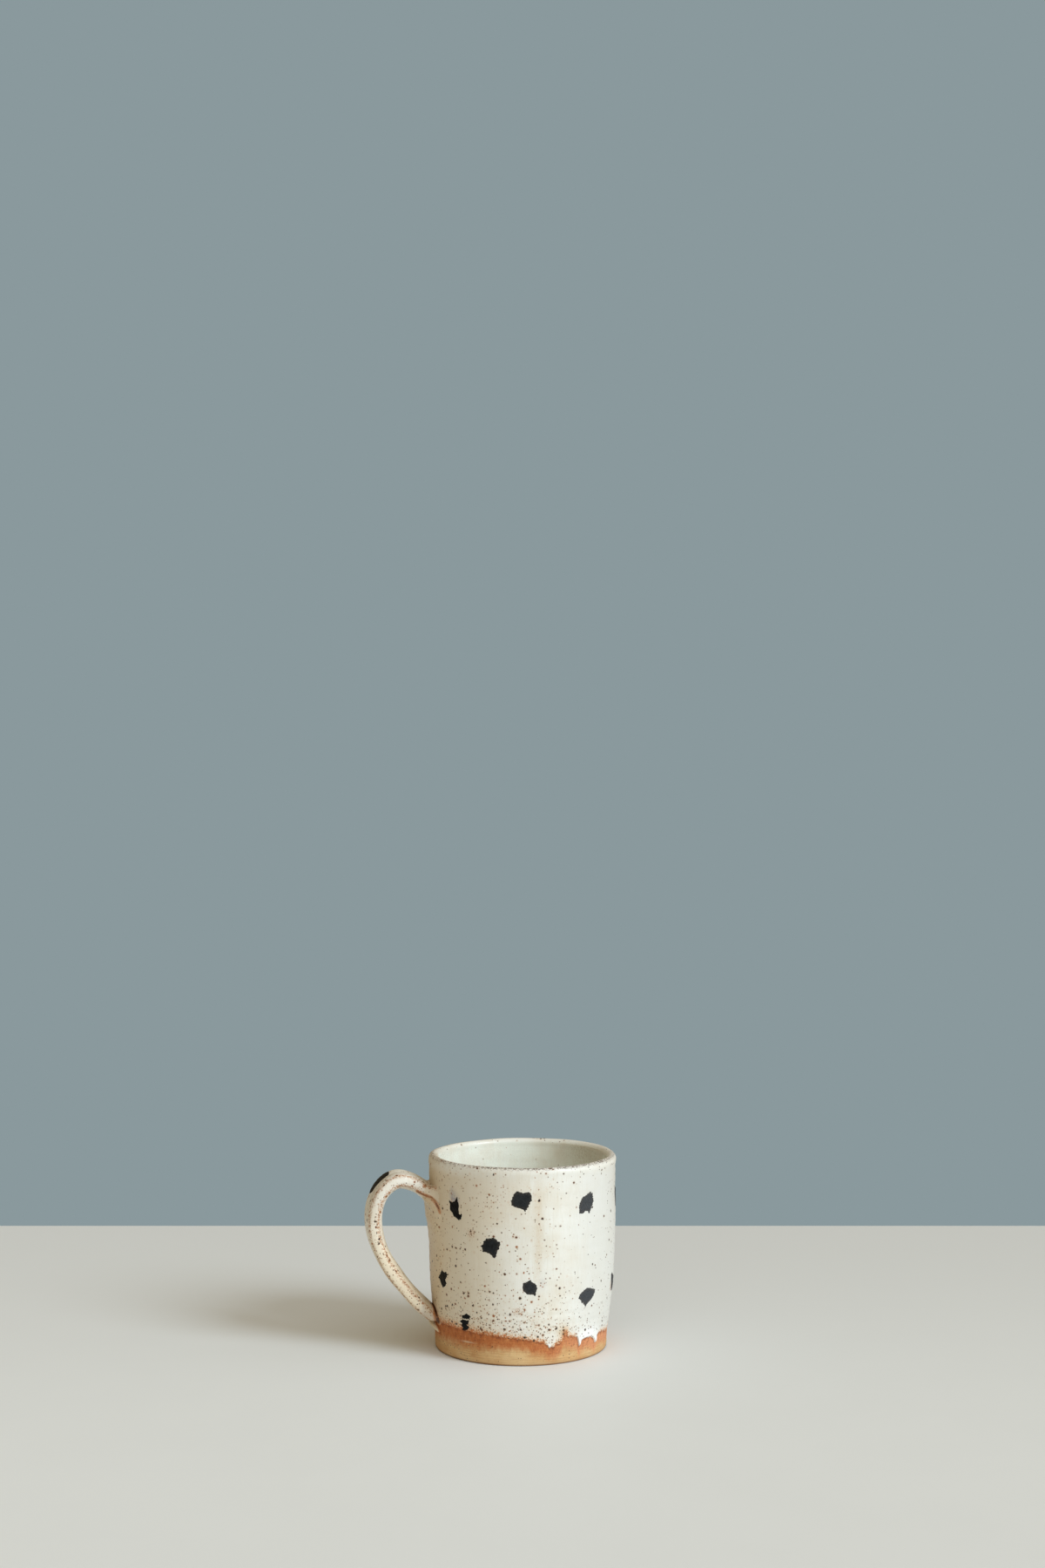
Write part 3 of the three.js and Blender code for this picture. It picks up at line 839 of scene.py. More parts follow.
def clay_finish(colours):
    """Bare fired clay: tan with trimmed lines, dark grit and specks, and a rust flash just under
    the glaze, paler to the right as painted light, that streaks away downwards; a painted
    contact shadow darkens the foot where it meets the floor."""
    made, tree, vector = start_material("stoneware_bare_clay")
    grain = use(tree, clay_grain(), Vector=vector)
    grit = grain["Grit"]
    broad = noise(tree, stretch(tree, vector, 1, 1, 0.5), 0.5, 4.0, 0.7)
    drawn = noise(tree, stretch(tree, vector, 1, 1, 0.4), 0.8, 4.0, 0.7)
    streak = plus(tree, mark(tree, "below"), swing(tree, broad, 0.7))
    in_rust = ease(tree, streak, 0.7, 0.4)
    pits = times(tree, ease(tree, streak, 0.6, 0.3), ease(tree, grit, 0.5, 0.36, 0.0, 0.5))
    # painted light: the rust is paler towards the lit right side
    rust = tint(tree, ease(tree, rightwards(tree, vector), 2, 40, 0.0, 0.7), rgba(colours.rust),
                tone(228, 160, 116))
    specks = use(tree, iron_specks(), Vector=vector, Scale=0.8, Amount=0.45, Size=0.29)
    colour = layered(tree, rgba(colours.clay), [
        (ease(tree, grain["Flash"], 0.35, 0.68), tone(198, 150, 94)),
        (ease(tree, grain["Lines"], 0.5, 0.68, 0.0, 0.55), tone(168, 118, 70)),
        (ease(tree, grit, 0.56, 0.72, 0.0, 0.5), tone(230, 202, 158)),
        (ease(tree, grit, 0.44, 0.3, 0.0, 0.6), tone(150, 104, 64)),
        (ease(tree, streak, 0.8, 0.28, 0.0, 0.95), rust),
        (times(tree, in_rust, ease(tree, drawn, 0.5, 0.66, 0.0, 0.5)), tone(214, 148, 86)),
        (times(tree, in_rust, ease(tree, drawn, 0.46, 0.32, 0.0, 0.6)), tone(146, 76, 32)),
        (ease(tree, streak, 0.13, -0.06, 0.0, 0.85), tone(132, 66, 30)),
        (pits, tone(128, 66, 30)),
        (mark(tree, "tongue"), tone(222, 204, 172)),
        # painted contact shadow round the foot, from the base mark
        (mark(tree, "base"), tone(120, 82, 50)),
        # dark creases at the joins, and on the tail also painted shade along its thin edge
        (ease(tree, mark(tree, "crease"), 0.35, 0.8, 0.0, 0.9), tone(70, 36, 16)),
        (times(tree, specks["Speck"], 0.75), tone(84, 50, 28))])
    finish_material(tree, colour, ease(tree, grit, 0.2, 0.8, 0.62, 0.85), grain["Height"], 0.16, 0.6)
    return made


def brushwork_finish(colours):
    """Black brushed oxide: dense in the middle of a stroke, dry and broken at its edge, with fine
    pale flecks, grey where it is washed thin and, on the dots to the right, as a painted sheen,
    and blackest to the left as painted shade. Its index of refraction is set low, which keeps
    the floor's reflection off it."""
    made, tree, vector = start_material("stoneware_black_brushwork")
    grit = noise(tree, vector, 2.2, 5.0, 0.75)
    colour = layered(tree, rgba(colours.black), [
        (ease(tree, noise(tree, vector, 0.5, 3.0, 0.6), 0.3, 0.7), tone(35, 38, 40)),
        (ease(tree, grit, 0.56, 0.72, 0.0, 0.35), tone(84, 84, 83)),
        # thin paint, and on the dots in front a painted sheen that grows towards the lit right
        (times(tree, mark(tree, "wash_and_painted_sheen"), ease(tree, grit, 0.3, 0.6, 0.35, 0.9)), tone(76, 78, 80)),
        (times(tree, mark(tree, "dry"), ease(tree, grit, 0.46, 0.6), 0.55), tone(112, 98, 84)),
        # painted shade: dots to the viewer's left go nearly black
        (ease(tree, rightwards(tree, vector), -10, -28, 0.0, 0.9), tone(2, 3, 3))])
    finish_material(tree, colour, ease(tree, grit, 0.3, 0.7, 0.34, 0.5), grit, 0.07, 0.6, ior=1.2)
    return made


def plain_finish(label, colour, roughness):
    """A plain matt finish for the floor, with painted shade that makes it a little darker away from the
    viewer.
    """
    made, tree, vector = start_material(label)
    mottled = noise(tree, vector, 0.02, 3.0, 0.5)
    back = node(tree, "VectorMath", {0: vector, 1: (-RIGHT[1], RIGHT[0], 0)}, operation="DOT_PRODUCT")
    darker = rgba(tuple(0.86 * part for part in colour))
    # painted shade darkens the floor away from the viewer; the faint mottle is the floor's own
    colour = layered(tree, rgba(colour), [(ease(tree, back.outputs["Value"], -220, 290), darker),
                                          (ease(tree, mottled, 0.35, 0.7, 0.0, 0.06), darker)])
    finish_material(tree, colour, roughness, mottled, 0.01, 0.2)
    return made


def finish_for(label):
    """The finish of that name, made the first time that it is asked for."""
    makers = {"stoneware_wall_glaze": wall_glaze_finish, "stoneware_liner_glaze": liner_finish,
              "stoneware_bare_clay": clay_finish, "stoneware_black_brushwork": brushwork_finish}
    return bpy.data.materials.get(label) or makers[label](bpy.context.scene.mug_colours)


# Sizes and colours that a user would change

class MugSizes(bpy.types.PropertyGroup):
    """Sizes of the mug's handwork. The frame holds the rest."""

    coat: FloatProperty(
        name="Glaze", description="Thickness of the full coat of glaze", default=0.45 * MM,
        min=0.1 * MM, max=1.5 * MM, unit="LENGTH")
    ring_depth: FloatProperty(
        name="Throwing rings", description="Height of the rings that fingers leave", default=0.045 * MM,
        min=0, max=0.5 * MM, unit="LENGTH")
    lean: FloatProperty(
        name="Lean", description="Sideways shift for each wall radius of height", default=0.44 * MM,
        min=0, max=2 * MM, unit="LENGTH")
    paint: FloatProperty(
        name="Paint", description="Thickness of the brushed dots over the glaze", default=0.13 * MM,
        min=0.02 * MM, max=0.6 * MM, unit="LENGTH")
    paint_cell: FloatProperty(
        name="Dot detail", description="Spacing of the points that make a dot's ragged outline",
        default=0.16 * MM, min=0.08 * MM, max=0.6 * MM, unit="LENGTH")


class MugColours(bpy.types.PropertyGroup):
    """Colours of the glazes, the clay and the stage."""

    glaze_cream: FloatVectorProperty(
        name="Glaze", description="Main colour of the wall's glaze", default=srgb(232, 230, 220),
        min=0, max=1, subtype="COLOR")
    glaze_warm: FloatVectorProperty(
        name="Glaze, warm", description="The glaze where it is thinner", default=srgb(223, 215, 197),
        min=0, max=1, subtype="COLOR")
    liner: FloatVectorProperty(
        name="Liner", description="Colour of the glaze inside", default=srgb(236, 239, 227),
        min=0, max=1, subtype="COLOR")
    clay: FloatVectorProperty(
        name="Clay", description="Bare fired clay", default=srgb(212, 178, 126), min=0, max=1,
        subtype="COLOR")
    rust: FloatVectorProperty(
        name="Rust", description="Iron flash beside the glaze", default=srgb(180, 100, 43), min=0, max=1,
        subtype="COLOR")
    black: FloatVectorProperty(
        name="Brushwork", description="The brushed dots", default=srgb(25, 27, 28), min=0, max=1,
        subtype="COLOR")
    floor: FloatVectorProperty(
        name="Floor", description="The pale floor", default=srgb(238, 241, 239), min=0, max=1,
        subtype="COLOR")
    backdrop: FloatVectorProperty(
        name="Backdrop", description="The plain surroundings", default=srgb(138, 153, 157), min=0, max=1,
        subtype="COLOR")


# The pieces

def wall_marks(turn, height, points, coat, edge=None):
    """The marks painted on the wall's glaze: thinness from the distance to its edge, patches of
    specks, stains (the broad one over the left side is painted shade) and smears, the lip, and
    the creases beside the strap."""
    distance = turn_to_round(turn)
    distance, height = np.broadcast_arrays(distance, height)
    crease = crease_mark(points, coat, 1.0, 2.4)
    blob = np.clip(patches(THICK_GLAZE, distance, height), 0, 1)
    reach = 6.5 + 4.0 * ease_step(-distance, 0, 30) + patches(WIDE_FRINGE, distance, height)
    thin = 0 * height if edge is None else np.clip(1 - edge / reach, 0, 1) * (1 - 0.85 * blob)
    if edge is not None:
        thin = np.maximum(thin, 0.97 * np.clip(1 - edge / 0.55, 0, 1) * (1 - 0.75 * blob))
    return {"thin": thin, "crease": crease, "thick": blob,
            "specks": np.clip(PLAIN_SPECKS + patches(SPECK_PATCHES, distance, height), 0, 1),
            "stain": np.clip(patches(WARM_STAINS_AND_PAINTED_SHADE, distance, height), 0, 1),
            "ridge": np.clip(patches(RUST_SPOTS, distance, height), 0, 1),
            "smear": np.clip(patches(LILAC_SMEARS, distance, height), 0, 1)}


def inner_stain_and_shade(turn, height):
    """The brown run under the lip on one side of the inside, strengthened as painted shade where
    the inside wall turns away from the light: a bell curve round, fading downwards.
    """
    middle, half_width = math.radians(124), 24
    round_it = np.exp(-(turn_to_round(turn - middle) / half_width) ** 2)
    return 0.8 * round_it * ease_step(height, 70, 86)


class MUG_OT_body(bpy.types.Operator):
    """Throws the clay body: wall, lip, inside and trimmed foot as one turned shell"""

    bl_idname = "mug.body"
    bl_label = "Clay Body"

    def execute(self, context):
        columns = 360
        turn = full_turn(columns)
        start = SECTION[0]
        foot_radius = start[1]
        base_radius = np.array([3, 8, 13, 18, 23, 28, 32, 35, 37, 38, 38.8, 39.3]) * foot_radius / 40.1
        x, y = np.outer(base_radius, np.cos(turn)), np.outer(base_radius, np.sin(turn))
        wire = 0.05 * (1 + np.sin(np.hypot(x - 55, y + 12) * 1.7))
        wire = wire * ease_step(38.5 - np.hypot(x, y), 0, 2)
        base = shared_lean(np.stack([x, y, wire], axis=-1))
        bend = np.linspace(0.1, 1, 6)[:, None] * math.pi / 2
        bevel_radius = base_radius[-1] + (foot_radius - base_radius[-1]) * np.sin(bend)
        bevel_height = start[2] * (1 - np.cos(bend))
        bevel = shared_lean(np.stack(np.broadcast_arrays(
            bevel_radius * np.cos(turn), bevel_radius * np.sin(turn), bevel_height), axis=-1))[:-1]
        foot_end, inside_top = along_outside(24), along_inside(80)
        along = np.concatenate([np.linspace(0, foot_end, 70), np.linspace(foot_end, inside_top, 50)[1:],
                                np.linspace(inside_top, SECTION[-1, 0], 40)[1:-1]])[:, None]
        wall = body_point(turn, along, 0.0)
        height = np.interp(along, SECTION[:, 0], SECTION[:, 2])
        outer = along < foot_end
        trim = 0.05 * np.sin(height * 5.1 + turn) + 0.04 * np.sin(height * 11.3 - 2 * turn)
        wall[..., :2] *= (1 + np.where(outer, trim * ease_step(height, 0.6, 2.0), 0) / 40)[..., None]
        grid = np.concatenate([base, bevel, wall])
        poles = shared_lean(np.array([[0, 0, 0.05], [0, 0, SECTION[-1, 2]]]))
        points = np.concatenate([grid.reshape(-1, 3), poles])
        flash = 9 + 3.5 * ease_step(-turn_to_round(turn), 0, 30)
        below = np.full(grid.shape[:2], 1.0)
        below[-len(wall):] = np.where(outer, np.clip((glaze_edge(turn) - height) / flash, 0, 1), 1)
        # Painted contact shadow, kept in dark and the base mark: the foot's bevel and the wall's lowest
        # millimetre are darkened where they meet the floor
        dark = np.zeros(grid.shape[:2])
        dark[len(base) + 1:-len(wall)] = 0.8
        dark[-len(wall):] = 0.8 * np.exp(-((height - 0.4) / 0.5) ** 2) * outer
        drag = np.zeros(grid.shape[:2])
        drag[-len(wall):] = outer * patches(GLAZE_DRAG, turn_to_round(turn), height)
        marks = {label: np.append(values.ravel(), [at_poles, at_poles]) for label, values, at_poles in (
            ("below", below, 1), ("base", dark, 0), ("tongue", drag, 0))}
        make_piece("thrown_body", points, capped_faces(len(grid), columns),
                   finish_for("stoneware_bare_clay"), ["clay_body"], marks)
        return {"FINISHED"}


class MUG_OT_wall_coat(bpy.types.Operator):
    """Dips the wall's glaze: a coat from its ragged lower edge, over the lip and a little way in"""

    bl_idname = "mug.wall_coat"
    bl_label = "Wall Glaze"

    def execute(self, context):
        coat = context.scene.mug_sizes.coat / MM
        columns = 600
        turn = full_turn(columns)
        edge = glaze_edge(turn)
        first, even = along_outside(edge)[None], along_outside(25)
        lip, last = along_outside(86), along_inside(82.6)
        share = np.linspace(0, 1, 48)[:, None] ** 1.35
        near = first + (even - first) * share
        middle = np.repeat(np.linspace(even, lip, 56)[1:, None], columns, axis=1)
        over = np.repeat(np.linspace(lip, last, 34)[1:, None], columns, axis=1)
        along = np.concatenate([near, middle, over])
        height = np.interp(along, SECTION[:, 0], SECTION[:, 2])
        up = along - first
        blob = np.clip(patches(THICK_GLAZE, turn_to_round(turn)[None], height), 0, 1)
        full = coat * (1 - np.exp(-up / 1.1)) + 0.05
        bead = (0.03 + 0.34 * blob) * np.exp(-((up - 0.75) / 0.55) ** 2)
        bead = bead + 0.25 * blob * ease_step(up, 0, 1)
        tucked = 0.2 * ease_step(along, along_inside(84.6), last)
        face = body_point(turn[None], along, full + bead - tucked)
        back_rows = np.linspace(1, 0, 26)[:, None]
        back = body_point(turn[None], first + (last - first) * back_rows, 0.03)
        grid = np.concatenate([face, back])
        marks = wall_marks(turn[None], height, face, coat, up)
        inside = (along > SECTION[TOP_ROW, 0] + 2.0)
        front_lip = np.exp(-((along - (SECTION[TOP_ROW, 0] - 0.7)) / 0.75) ** 2)
        marks["lip"] = front_lip * (0.55 + 0.4 * np.cos(turn[None] - FRONT))
        marks["inner"] = ease_step(along, SECTION[TOP_ROW, 0], SECTION[TOP_ROW, 0] + 4) + 0 * turn[None]
        marks["stain"] = np.maximum(marks["stain"] * ~inside, inner_stain_and_shade(turn[None], height) * inside)
        for label in ("specks", "smear", "thin", "crease", "ridge"):
            marks[label] = marks[label] * np.where(inside, 0.2 if label == "specks" else 0, 1)
        marks = {label: np.concatenate([values, 0 * back[..., 0]]) for label, values in marks.items()}
        make_piece("dipped_wall_coat", grid, [grid_faces(len(grid), columns, wrap_rows=True)],
                   finish_for("stoneware_wall_glaze"), ["wall_glaze"], marks)
        return {"FINISHED"}


class MUG_OT_liner(bpy.types.Operator):
    """Pours the liner: a glossy coat down the inside wall and over the floor"""

    bl_idname = "mug.liner"
    bl_label = "Liner Glaze"

    def execute(self, context):
        coat = context.scene.mug_sizes.coat / MM
        columns = 288
        turn = full_turn(columns)
        start, end = along_inside(86.2), SECTION[-1, 0]
        along = (start + (end - start) * np.linspace(0, 0.992, 150))[:, None]
        thick = coat + 0.06 - 0.2 * ease_step(along, start + 1.3, start)
        face = body_point(turn[None], along, thick)
        back = body_point(turn[None], along[::-6], 0.02)
        radius, height = (np.interp(along, SECTION[:, 0], SECTION[:, i]) for i in (1, 2))
        grid = np.concatenate([back, face])
        floor = SECTION[-1, 2]
        poles = shared_lean(np.array([[0, 0, floor + 0.02], [0, 0, floor + thick[-1, 0]]]))
        points = np.concatenate([grid.reshape(-1, 3), poles])
        pool = np.exp(-((radius - 32) / 4) ** 2 - ((height - 9) / 4) ** 2) + 0 * turn[None]
        empty = np.zeros(back.shape[:2])
        marks = {label: np.append(np.concatenate([empty, values]).ravel(), [0, 0])
                 for label, values in (("stain", inner_stain_and_shade(turn[None], height)), ("pool", pool))}
        make_piece("poured_liner", points, capped_faces(len(grid), columns),
                   finish_for("stoneware_liner_glaze"), ["liner_glaze"], marks)
        return {"FINISHED"}


class MUG_OT_strap(bpy.types.Operator):
    """Pulls the handle's clay strap and runs its coat of glaze over it, flared into the wall"""

    bl_idname = "mug.strap"
    bl_label = "Strap Handle"

    def execute(self, context):
        coat = context.scene.mug_sizes.coat / MM
        columns = 112
        outside, u, v = strap_coat(coat, columns=columns)
        ends = strap_ends(v[0], 0 * v[0], -coat, 0)
        inner_u = ends[0] + (ends[1] - ends[0]) * np.linspace(1, 0, 90)[:, None]
        inside, _ = strap_surface(inner_u, v[:1], -coat + 0.03)
        grid = np.concatenate([outside, shared_lean(inside)])
        across, outward = section_place(v)
        ridge = 0
        for place, strength in ((OUTER_RIDGE, 0.9), (INNER_RIDGE, 1.0)):
            gap = np.hypot(9 * (np.abs(across) - place[0]), 3.8 * (outward - place[1]))
            ridge = np.maximum(ridge, strength * np.exp(-(gap / 1.0) ** 2))
        crease = crease_mark(outside, coat, 1.2, 3.2)
        squash = [1, 0.6, 1]
        crease = np.maximum(crease, nearness(outside * squash, np.array([ROOT_SPOT]) * squash, 1.5))
        height = outside[..., 2]
        specks = 0.3 + 0.4 * ridge
        lilac = 0.25 * np.exp(-((height - 17.5) / 3.0) ** 2) * ease_step(np.abs(across), 0.5, 0.9)
        marks = {"ridge": ridge, "crease": crease, "specks": specks, "smear": lilac,
                 "stain": 0.08 + 0.12 * ridge}
        marks = {label: np.concatenate([values, 0 * inside[..., 0]]) for label, values in marks.items()}
        make_piece("glazed_strap_coat", grid, [grid_faces(len(grid), columns, wrap_rows=True)],
                   finish_for("stoneware_wall_glaze"), ["handle_glaze"], marks)

        columns = 64
        v = np.arange(columns) / columns
        first, last = strap_ends(v, 0 * v - 0.3, -coat, 0)
        core_u = first + (last - first) * np.linspace(0, 1, 110)[:, None]
        core, _ = strap_surface(core_u, v[None], -coat)
        core = shared_lean(core)
        points = np.concatenate([core.reshape(-1, 3), core[0].mean(0)[None], core[-1].mean(0)[None]])
        make_piece("pulled_strap_core", points, capped_faces(len(core), columns),
                   finish_for("stoneware_bare_clay"), ["handle"],
                   {"below": np.full(len(points), 0.5)})
        return {"FINISHED"}


def pressed_patch(name, widths, heights, rise, sink, finish, node_name, marks):
    """A pad pressed on the wall under the strap: a sheet over the wall's face, as high as `rise`
    says for each distance from the strap's middle and height, closed by a back `sink` under it."""
    coat = bpy.context.scene.mug_sizes.coat / MM
    side, z = np.meshgrid(widths, heights)
    turn = math.pi + side / ROUND
    along = along_outside(z)
    proud = rise(side, z)
    under = 0.3 * (1 - ease_step(proud, 0, 0.45))
    edge = np.zeros_like(proud, bool)
    edge[0], edge[-1], edge[:, 0], edge[:, -1] = True, True, True, True
    face = body_point(turn, along, coat + np.where(edge, 0, proud) - np.where(edge, sink, under))
    back = body_point(turn, along, coat - sink - 0.12)
    rows, columns = proud.shape
    row, column = np.arange(rows - 1)[:, None], np.arange(columns - 1)[None]
    a = row * columns + column
    quads = np.stack([a, a + 1, a + columns + 1, a + columns], axis=-1).reshape(-1, 4)
    count = rows * columns
    rim = np.concatenate([np.arange(columns), np.arange(2 * columns - 1, count, columns),
                          np.arange(count - 2, count - columns - 1, -1),
                          np.arange(count - 2 * columns, 0, -columns)])
    after = np.roll(rim, -1)
    wall = np.stack([rim, rim + count, after + count, after], axis=-1)
    points = np.concatenate([face.reshape(-1, 3), back.reshape(-1, 3)])
    painted = {label: np.concatenate([values.ravel(), 0 * values.ravel()])
               for label, values in marks(turn, z, face, proud).items()}
    make_piece(name, points, [quads, quads[:, ::-1] + count, wall], finish_for(finish),
               [node_name], painted)


class MUG_OT_joins(bpy.types.Operator):
    """Presses the handle's two joins: the web under its root and the smeared tail at its foot"""

    bl_idname = "mug.joins"
    bl_label = "Pressed Joins"

    def execute(self, context):
        coat = context.scene.mug_sizes.coat / MM
        heights = np.arange(40, 80, 0.5)
        soft = soften(np.interp(heights, *np.array(WEB_RISE).T), 2.5)

        def web_rise(side, z):
            """The web's height up its middle, lowered towards the sides, where it starts lower."""
            level = z + 7 * (np.abs(side) / 14) ** 2
            middle = np.interp(level, heights, soft)
            rise = middle * np.clip(1 - (side / 17.5) ** 2, 0, 1) ** 1.5
            return np.maximum(rise, 0) * ease_step(76.5 - level, 0, 2.5)

        def web_marks(turn, z, face, proud):
            marks = wall_marks(turn, z, face, coat)
            marks["stain"] = np.clip(marks["stain"] + 0.3 * ease_step(proud, 0.3, 2), 0, 1)
            return marks

        pressed_patch("pressed_root_web", np.linspace(-19, 19, 96), np.linspace(42, 75, 100), web_rise,
                      0.35, "stoneware_wall_glaze", "upper_join", web_marks)

        def tail_rise(side, z):
            """A strip that droops to both sides of the strap and thins out along the wall."""
            centre = 13.3 - 0.34 * np.abs(side)
            strip = np.exp(-(np.abs(z - centre) / (1.25 - 0.05 * np.abs(side))) ** 4)
            return (2.3 * np.clip(1 - (side / 10.5) ** 2, 0, 1) + 0.25) * strip * ease_step(
                11 - np.abs(side), 0, 1.5)

        def tail_marks(turn, z, face, proud):
            tongue = 0.9 * ease_step(proud, 0.35, 0.8)
            # painted shade: a dark band along the tail's thin edge, carried in the crease mark
            shade = np.exp(-((proud - 0.12) / 0.14) ** 2)
            return {"below": 0.3 + 0.4 * tongue, "tongue": tongue,
                    "crease": np.maximum(0.7 * shade, crease_mark(face, coat, 0.7, 1.3))}

        pressed_patch("smeared_tail", np.linspace(-11.5, 11.5, 110), np.linspace(8.2, 15.8, 64), tail_rise,
                      0.6, "stoneware_bare_clay", "lower_join", tail_marks)
        return {"FINISHED"}


def brushed_outline(rng, width, height):
    """A dabbed dot: a rounded square with uneven sides and one pulled corner, as points."""
    turn = np.linspace(0, 2 * math.pi, 17)[:-1] + rng.uniform(-0.12, 0.12, 16)
    square = (np.abs(np.cos(turn)) ** 3.2 + np.abs(np.sin(turn)) ** 3.2) ** (-1 / 3.2)
    reach = square * (1 + rng.uniform(-0.16, 0.1, 16))
    reach[rng.integers(16)] *= 1.22
    return [(width / 2 * r * math.cos(t), height / 2 * r * math.sin(t)) for r, t in zip(reach, turn)]


def inside_outlines(x, y, outlines):
    """Distance in from the nearest of the closed outlines, and less than nothing outside them."""
    best = np.full(x.shape, -np.inf)
    for outline in outlines:
        p = np.array(outline, float)
        side = np.roll(p, -1, axis=0) - p
        away = np.stack([x, y], axis=-1)[..., None, :] - p
        share = np.clip((away * side).sum(-1) / (side * side).sum(-1), 0, 1)
        gap = np.linalg.norm(away - share[..., None] * side, axis=-1).min(-1)
        rising = (away[..., 1] < 0) != (away[..., 1] - side[:, 1] < 0)
        slope = side[:, 0] / np.where(side[:, 1] == 0, 1e-9, side[:, 1])
        crossed = rising & (away[..., 0] < away[..., 1] * slope)
        best = np.maximum(best, np.where(crossed.sum(-1) % 2 == 1, gap, -gap))
    return best


def paint_dot(name, outlines, place, seed, node_name, wash_and_painted_sheen=0.1):
    """A dot of paint, greyer as `wash_and_painted_sheen` goes to 1, which on the dots in front is a painted
    sheen and
    on the others thinner paint: the cells of a fine grid that lie inside its ragged outline, with
    the cells' outer corners drawn on to it, as a thin slab whose face rises from its edge. `place`
    gives the point for two distances on the surface and a height off it."""
    sizes = bpy.context.scene.mug_sizes
    cell, paint = sizes.paint_cell / MM, sizes.paint / MM
    spread = np.concatenate([np.array(o) for o in outlines])
    low, high = spread.min(0) - 0.6, spread.max(0) + 0.6
    x, y = np.meshgrid(np.arange(low[0], high[0], cell), np.arange(low[1], high[1], cell))
    depth = inside_outlines(x, y, outlines)
    ragged = 0.16 * waves(seed, 7, (0.5, 1.5), x, y) + 0.08 * waves(seed + 50, 5, (1.5, 3), x, y)
    depth = depth + 0.22 + ragged
    filled = (depth[1:, 1:] + depth[:-1, :-1] + depth[1:, :-1] + depth[:-1, 1:]) > 0
    for _ in range(3):
        joined = filled[1:, 1:] & filled[:-1, :-1] & ~filled[1:, :-1] & ~filled[:-1, 1:]
        crossed = ~filled[1:, 1:] & ~filled[:-1, :-1] & filled[1:, :-1] & filled[:-1, 1:]
        filled[1:, :-1] |= joined
        filled[1:, 1:] |= crossed
    steep_y, steep_x = np.gradient(depth, cell)
    steep = np.maximum(steep_x**2 + steep_y**2, 0.05)
    pull = np.clip(-depth / steep, -0.75 * cell, 0.75 * cell) * (np.abs(depth) < 0.8 * cell)
    x, y = x + pull * steep_x, y + pull * steep_y

    lift = paint * ease_step(depth, -0.05, 0.4) * (1 + 0.35 * waves(seed + 9, 6, (0.6, 2.4), x, y))
    face, back = place(x, y, 0.03 + lift), place(x, y, np.full(x.shape, -0.1))
    rows, columns = x.shape
    number = np.arange(rows * columns).reshape(rows, columns)
    quads = np.stack([number[:-1, :-1], number[:-1, 1:], number[1:, 1:], number[1:, :-1]], axis=-1)
    count = rows * columns
    ringed = np.pad(filled, 1)
    walls = []
    for step_y, step_x, start, end in ((-1, 0, 0, 1), (0, 1, 1, 2), (1, 0, 2, 3), (0, -1, 3, 0)):
        beside = np.roll(ringed, (-step_y, -step_x), axis=(0, 1))[1:-1, 1:-1]
        edge = quads[filled & ~beside]
        a, b = edge[:, start], edge[:, end]
        walls.append(np.stack([a, a + count, b + count, b], axis=-1))
    faces = np.concatenate([quads[filled], quads[filled][:, ::-1] + count, *walls])
    used, faces = np.unique(faces, return_inverse=True)
    points = np.concatenate([face.reshape(-1, 3), back.reshape(-1, 3)])[used]
    dry = np.tile(np.clip(1 - depth / 1.4, 0, 1).ravel(), 2)[used]
    make_piece(name, points, [faces.reshape(-1, 4)], finish_for("stoneware_black_brushwork"),
               [node_name], {"dry": dry, "wash_and_painted_sheen": np.full(len(points), wash_and_painted_sheen)})


class MUG_OT_dots(bpy.types.Operator):
    """Brushes the black dots round the wall and the one on the strap's shoulder"""

    bl_idname = "mug.dots"
    bl_label = "Brushed Dots"

    def execute(self, context):
        coat = context.scene.mug_sizes.coat / MM
        rng = np.random.default_rng(12)
        names = sorted(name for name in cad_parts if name.startswith("dot_"))
        for seed, name in enumerate(names):
            low, high = (np.array(corner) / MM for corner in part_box(name))
            middle = (low + high) / 2
            if name == "dot_handle":
                self.paint_handle(name, seed)
                continue
            centre = math.atan2(middle[1], middle[0])
            tall = high[2] - low[2]

            def place(x, y, off, centre=centre, z=middle[2]):
                return body_point(centre + x / ROUND, along_outside(z + y), coat + off)

            made_up = [brushed_outline(rng, tall * rng.uniform(0.85, 1.1), tall)]
            distance = float(turn_to_round(centre))
            # The listed dots in front grow greyer towards the lit right as a painted sheen; the others get
            # a random thin wash
            wash_and_painted_sheen = np.clip((distance + 5) / 38, 0, 0.9) if name in OUTLINES else rng.uniform(0, 0.5)
            paint_dot("brushed" + name[3:], OUTLINES.get(name, made_up), place, seed, name, wash_and_painted_sheen)
        return {"FINISHED"}

    def paint_handle(self, name, seed):
        """The dot on the strap: distances along it and across its outer face."""
        middle, aside, half_width = 0.305, 4.0, 9.3
        half = [(0, 5.0), (2.6, 4.5), (3.9, 2.6), (4.2, 0.4), (3.6, -2.2), (2.9, -4.1), (1.0, -5.2)]
        outline = half + [(-x, y) for x, y in half[:0:-1]]
        way = np.linspace(0, 1, len(STRAP_ROUND))
        upper = (STRAP_ROUND[:, 1] > 0.2) & (np.abs(STRAP_ROUND[:, 0]) < 0.995)
        order = np.argsort(STRAP_ROUND[upper, 0])
        shift = np.where(way[upper] > 0.5, way[upper] - 1, way[upper])

        def place(x, y, off):
            v = np.interp(-(x + aside) / half_width, STRAP_ROUND[upper, 0][order], shift[order]) % 1
            points, _ = strap_surface(middle - y / STRAP_LENGTH, v, off)
            return shared_lean(points)

        paint_dot("brushed" + name[3:], [outline], place, seed, name)


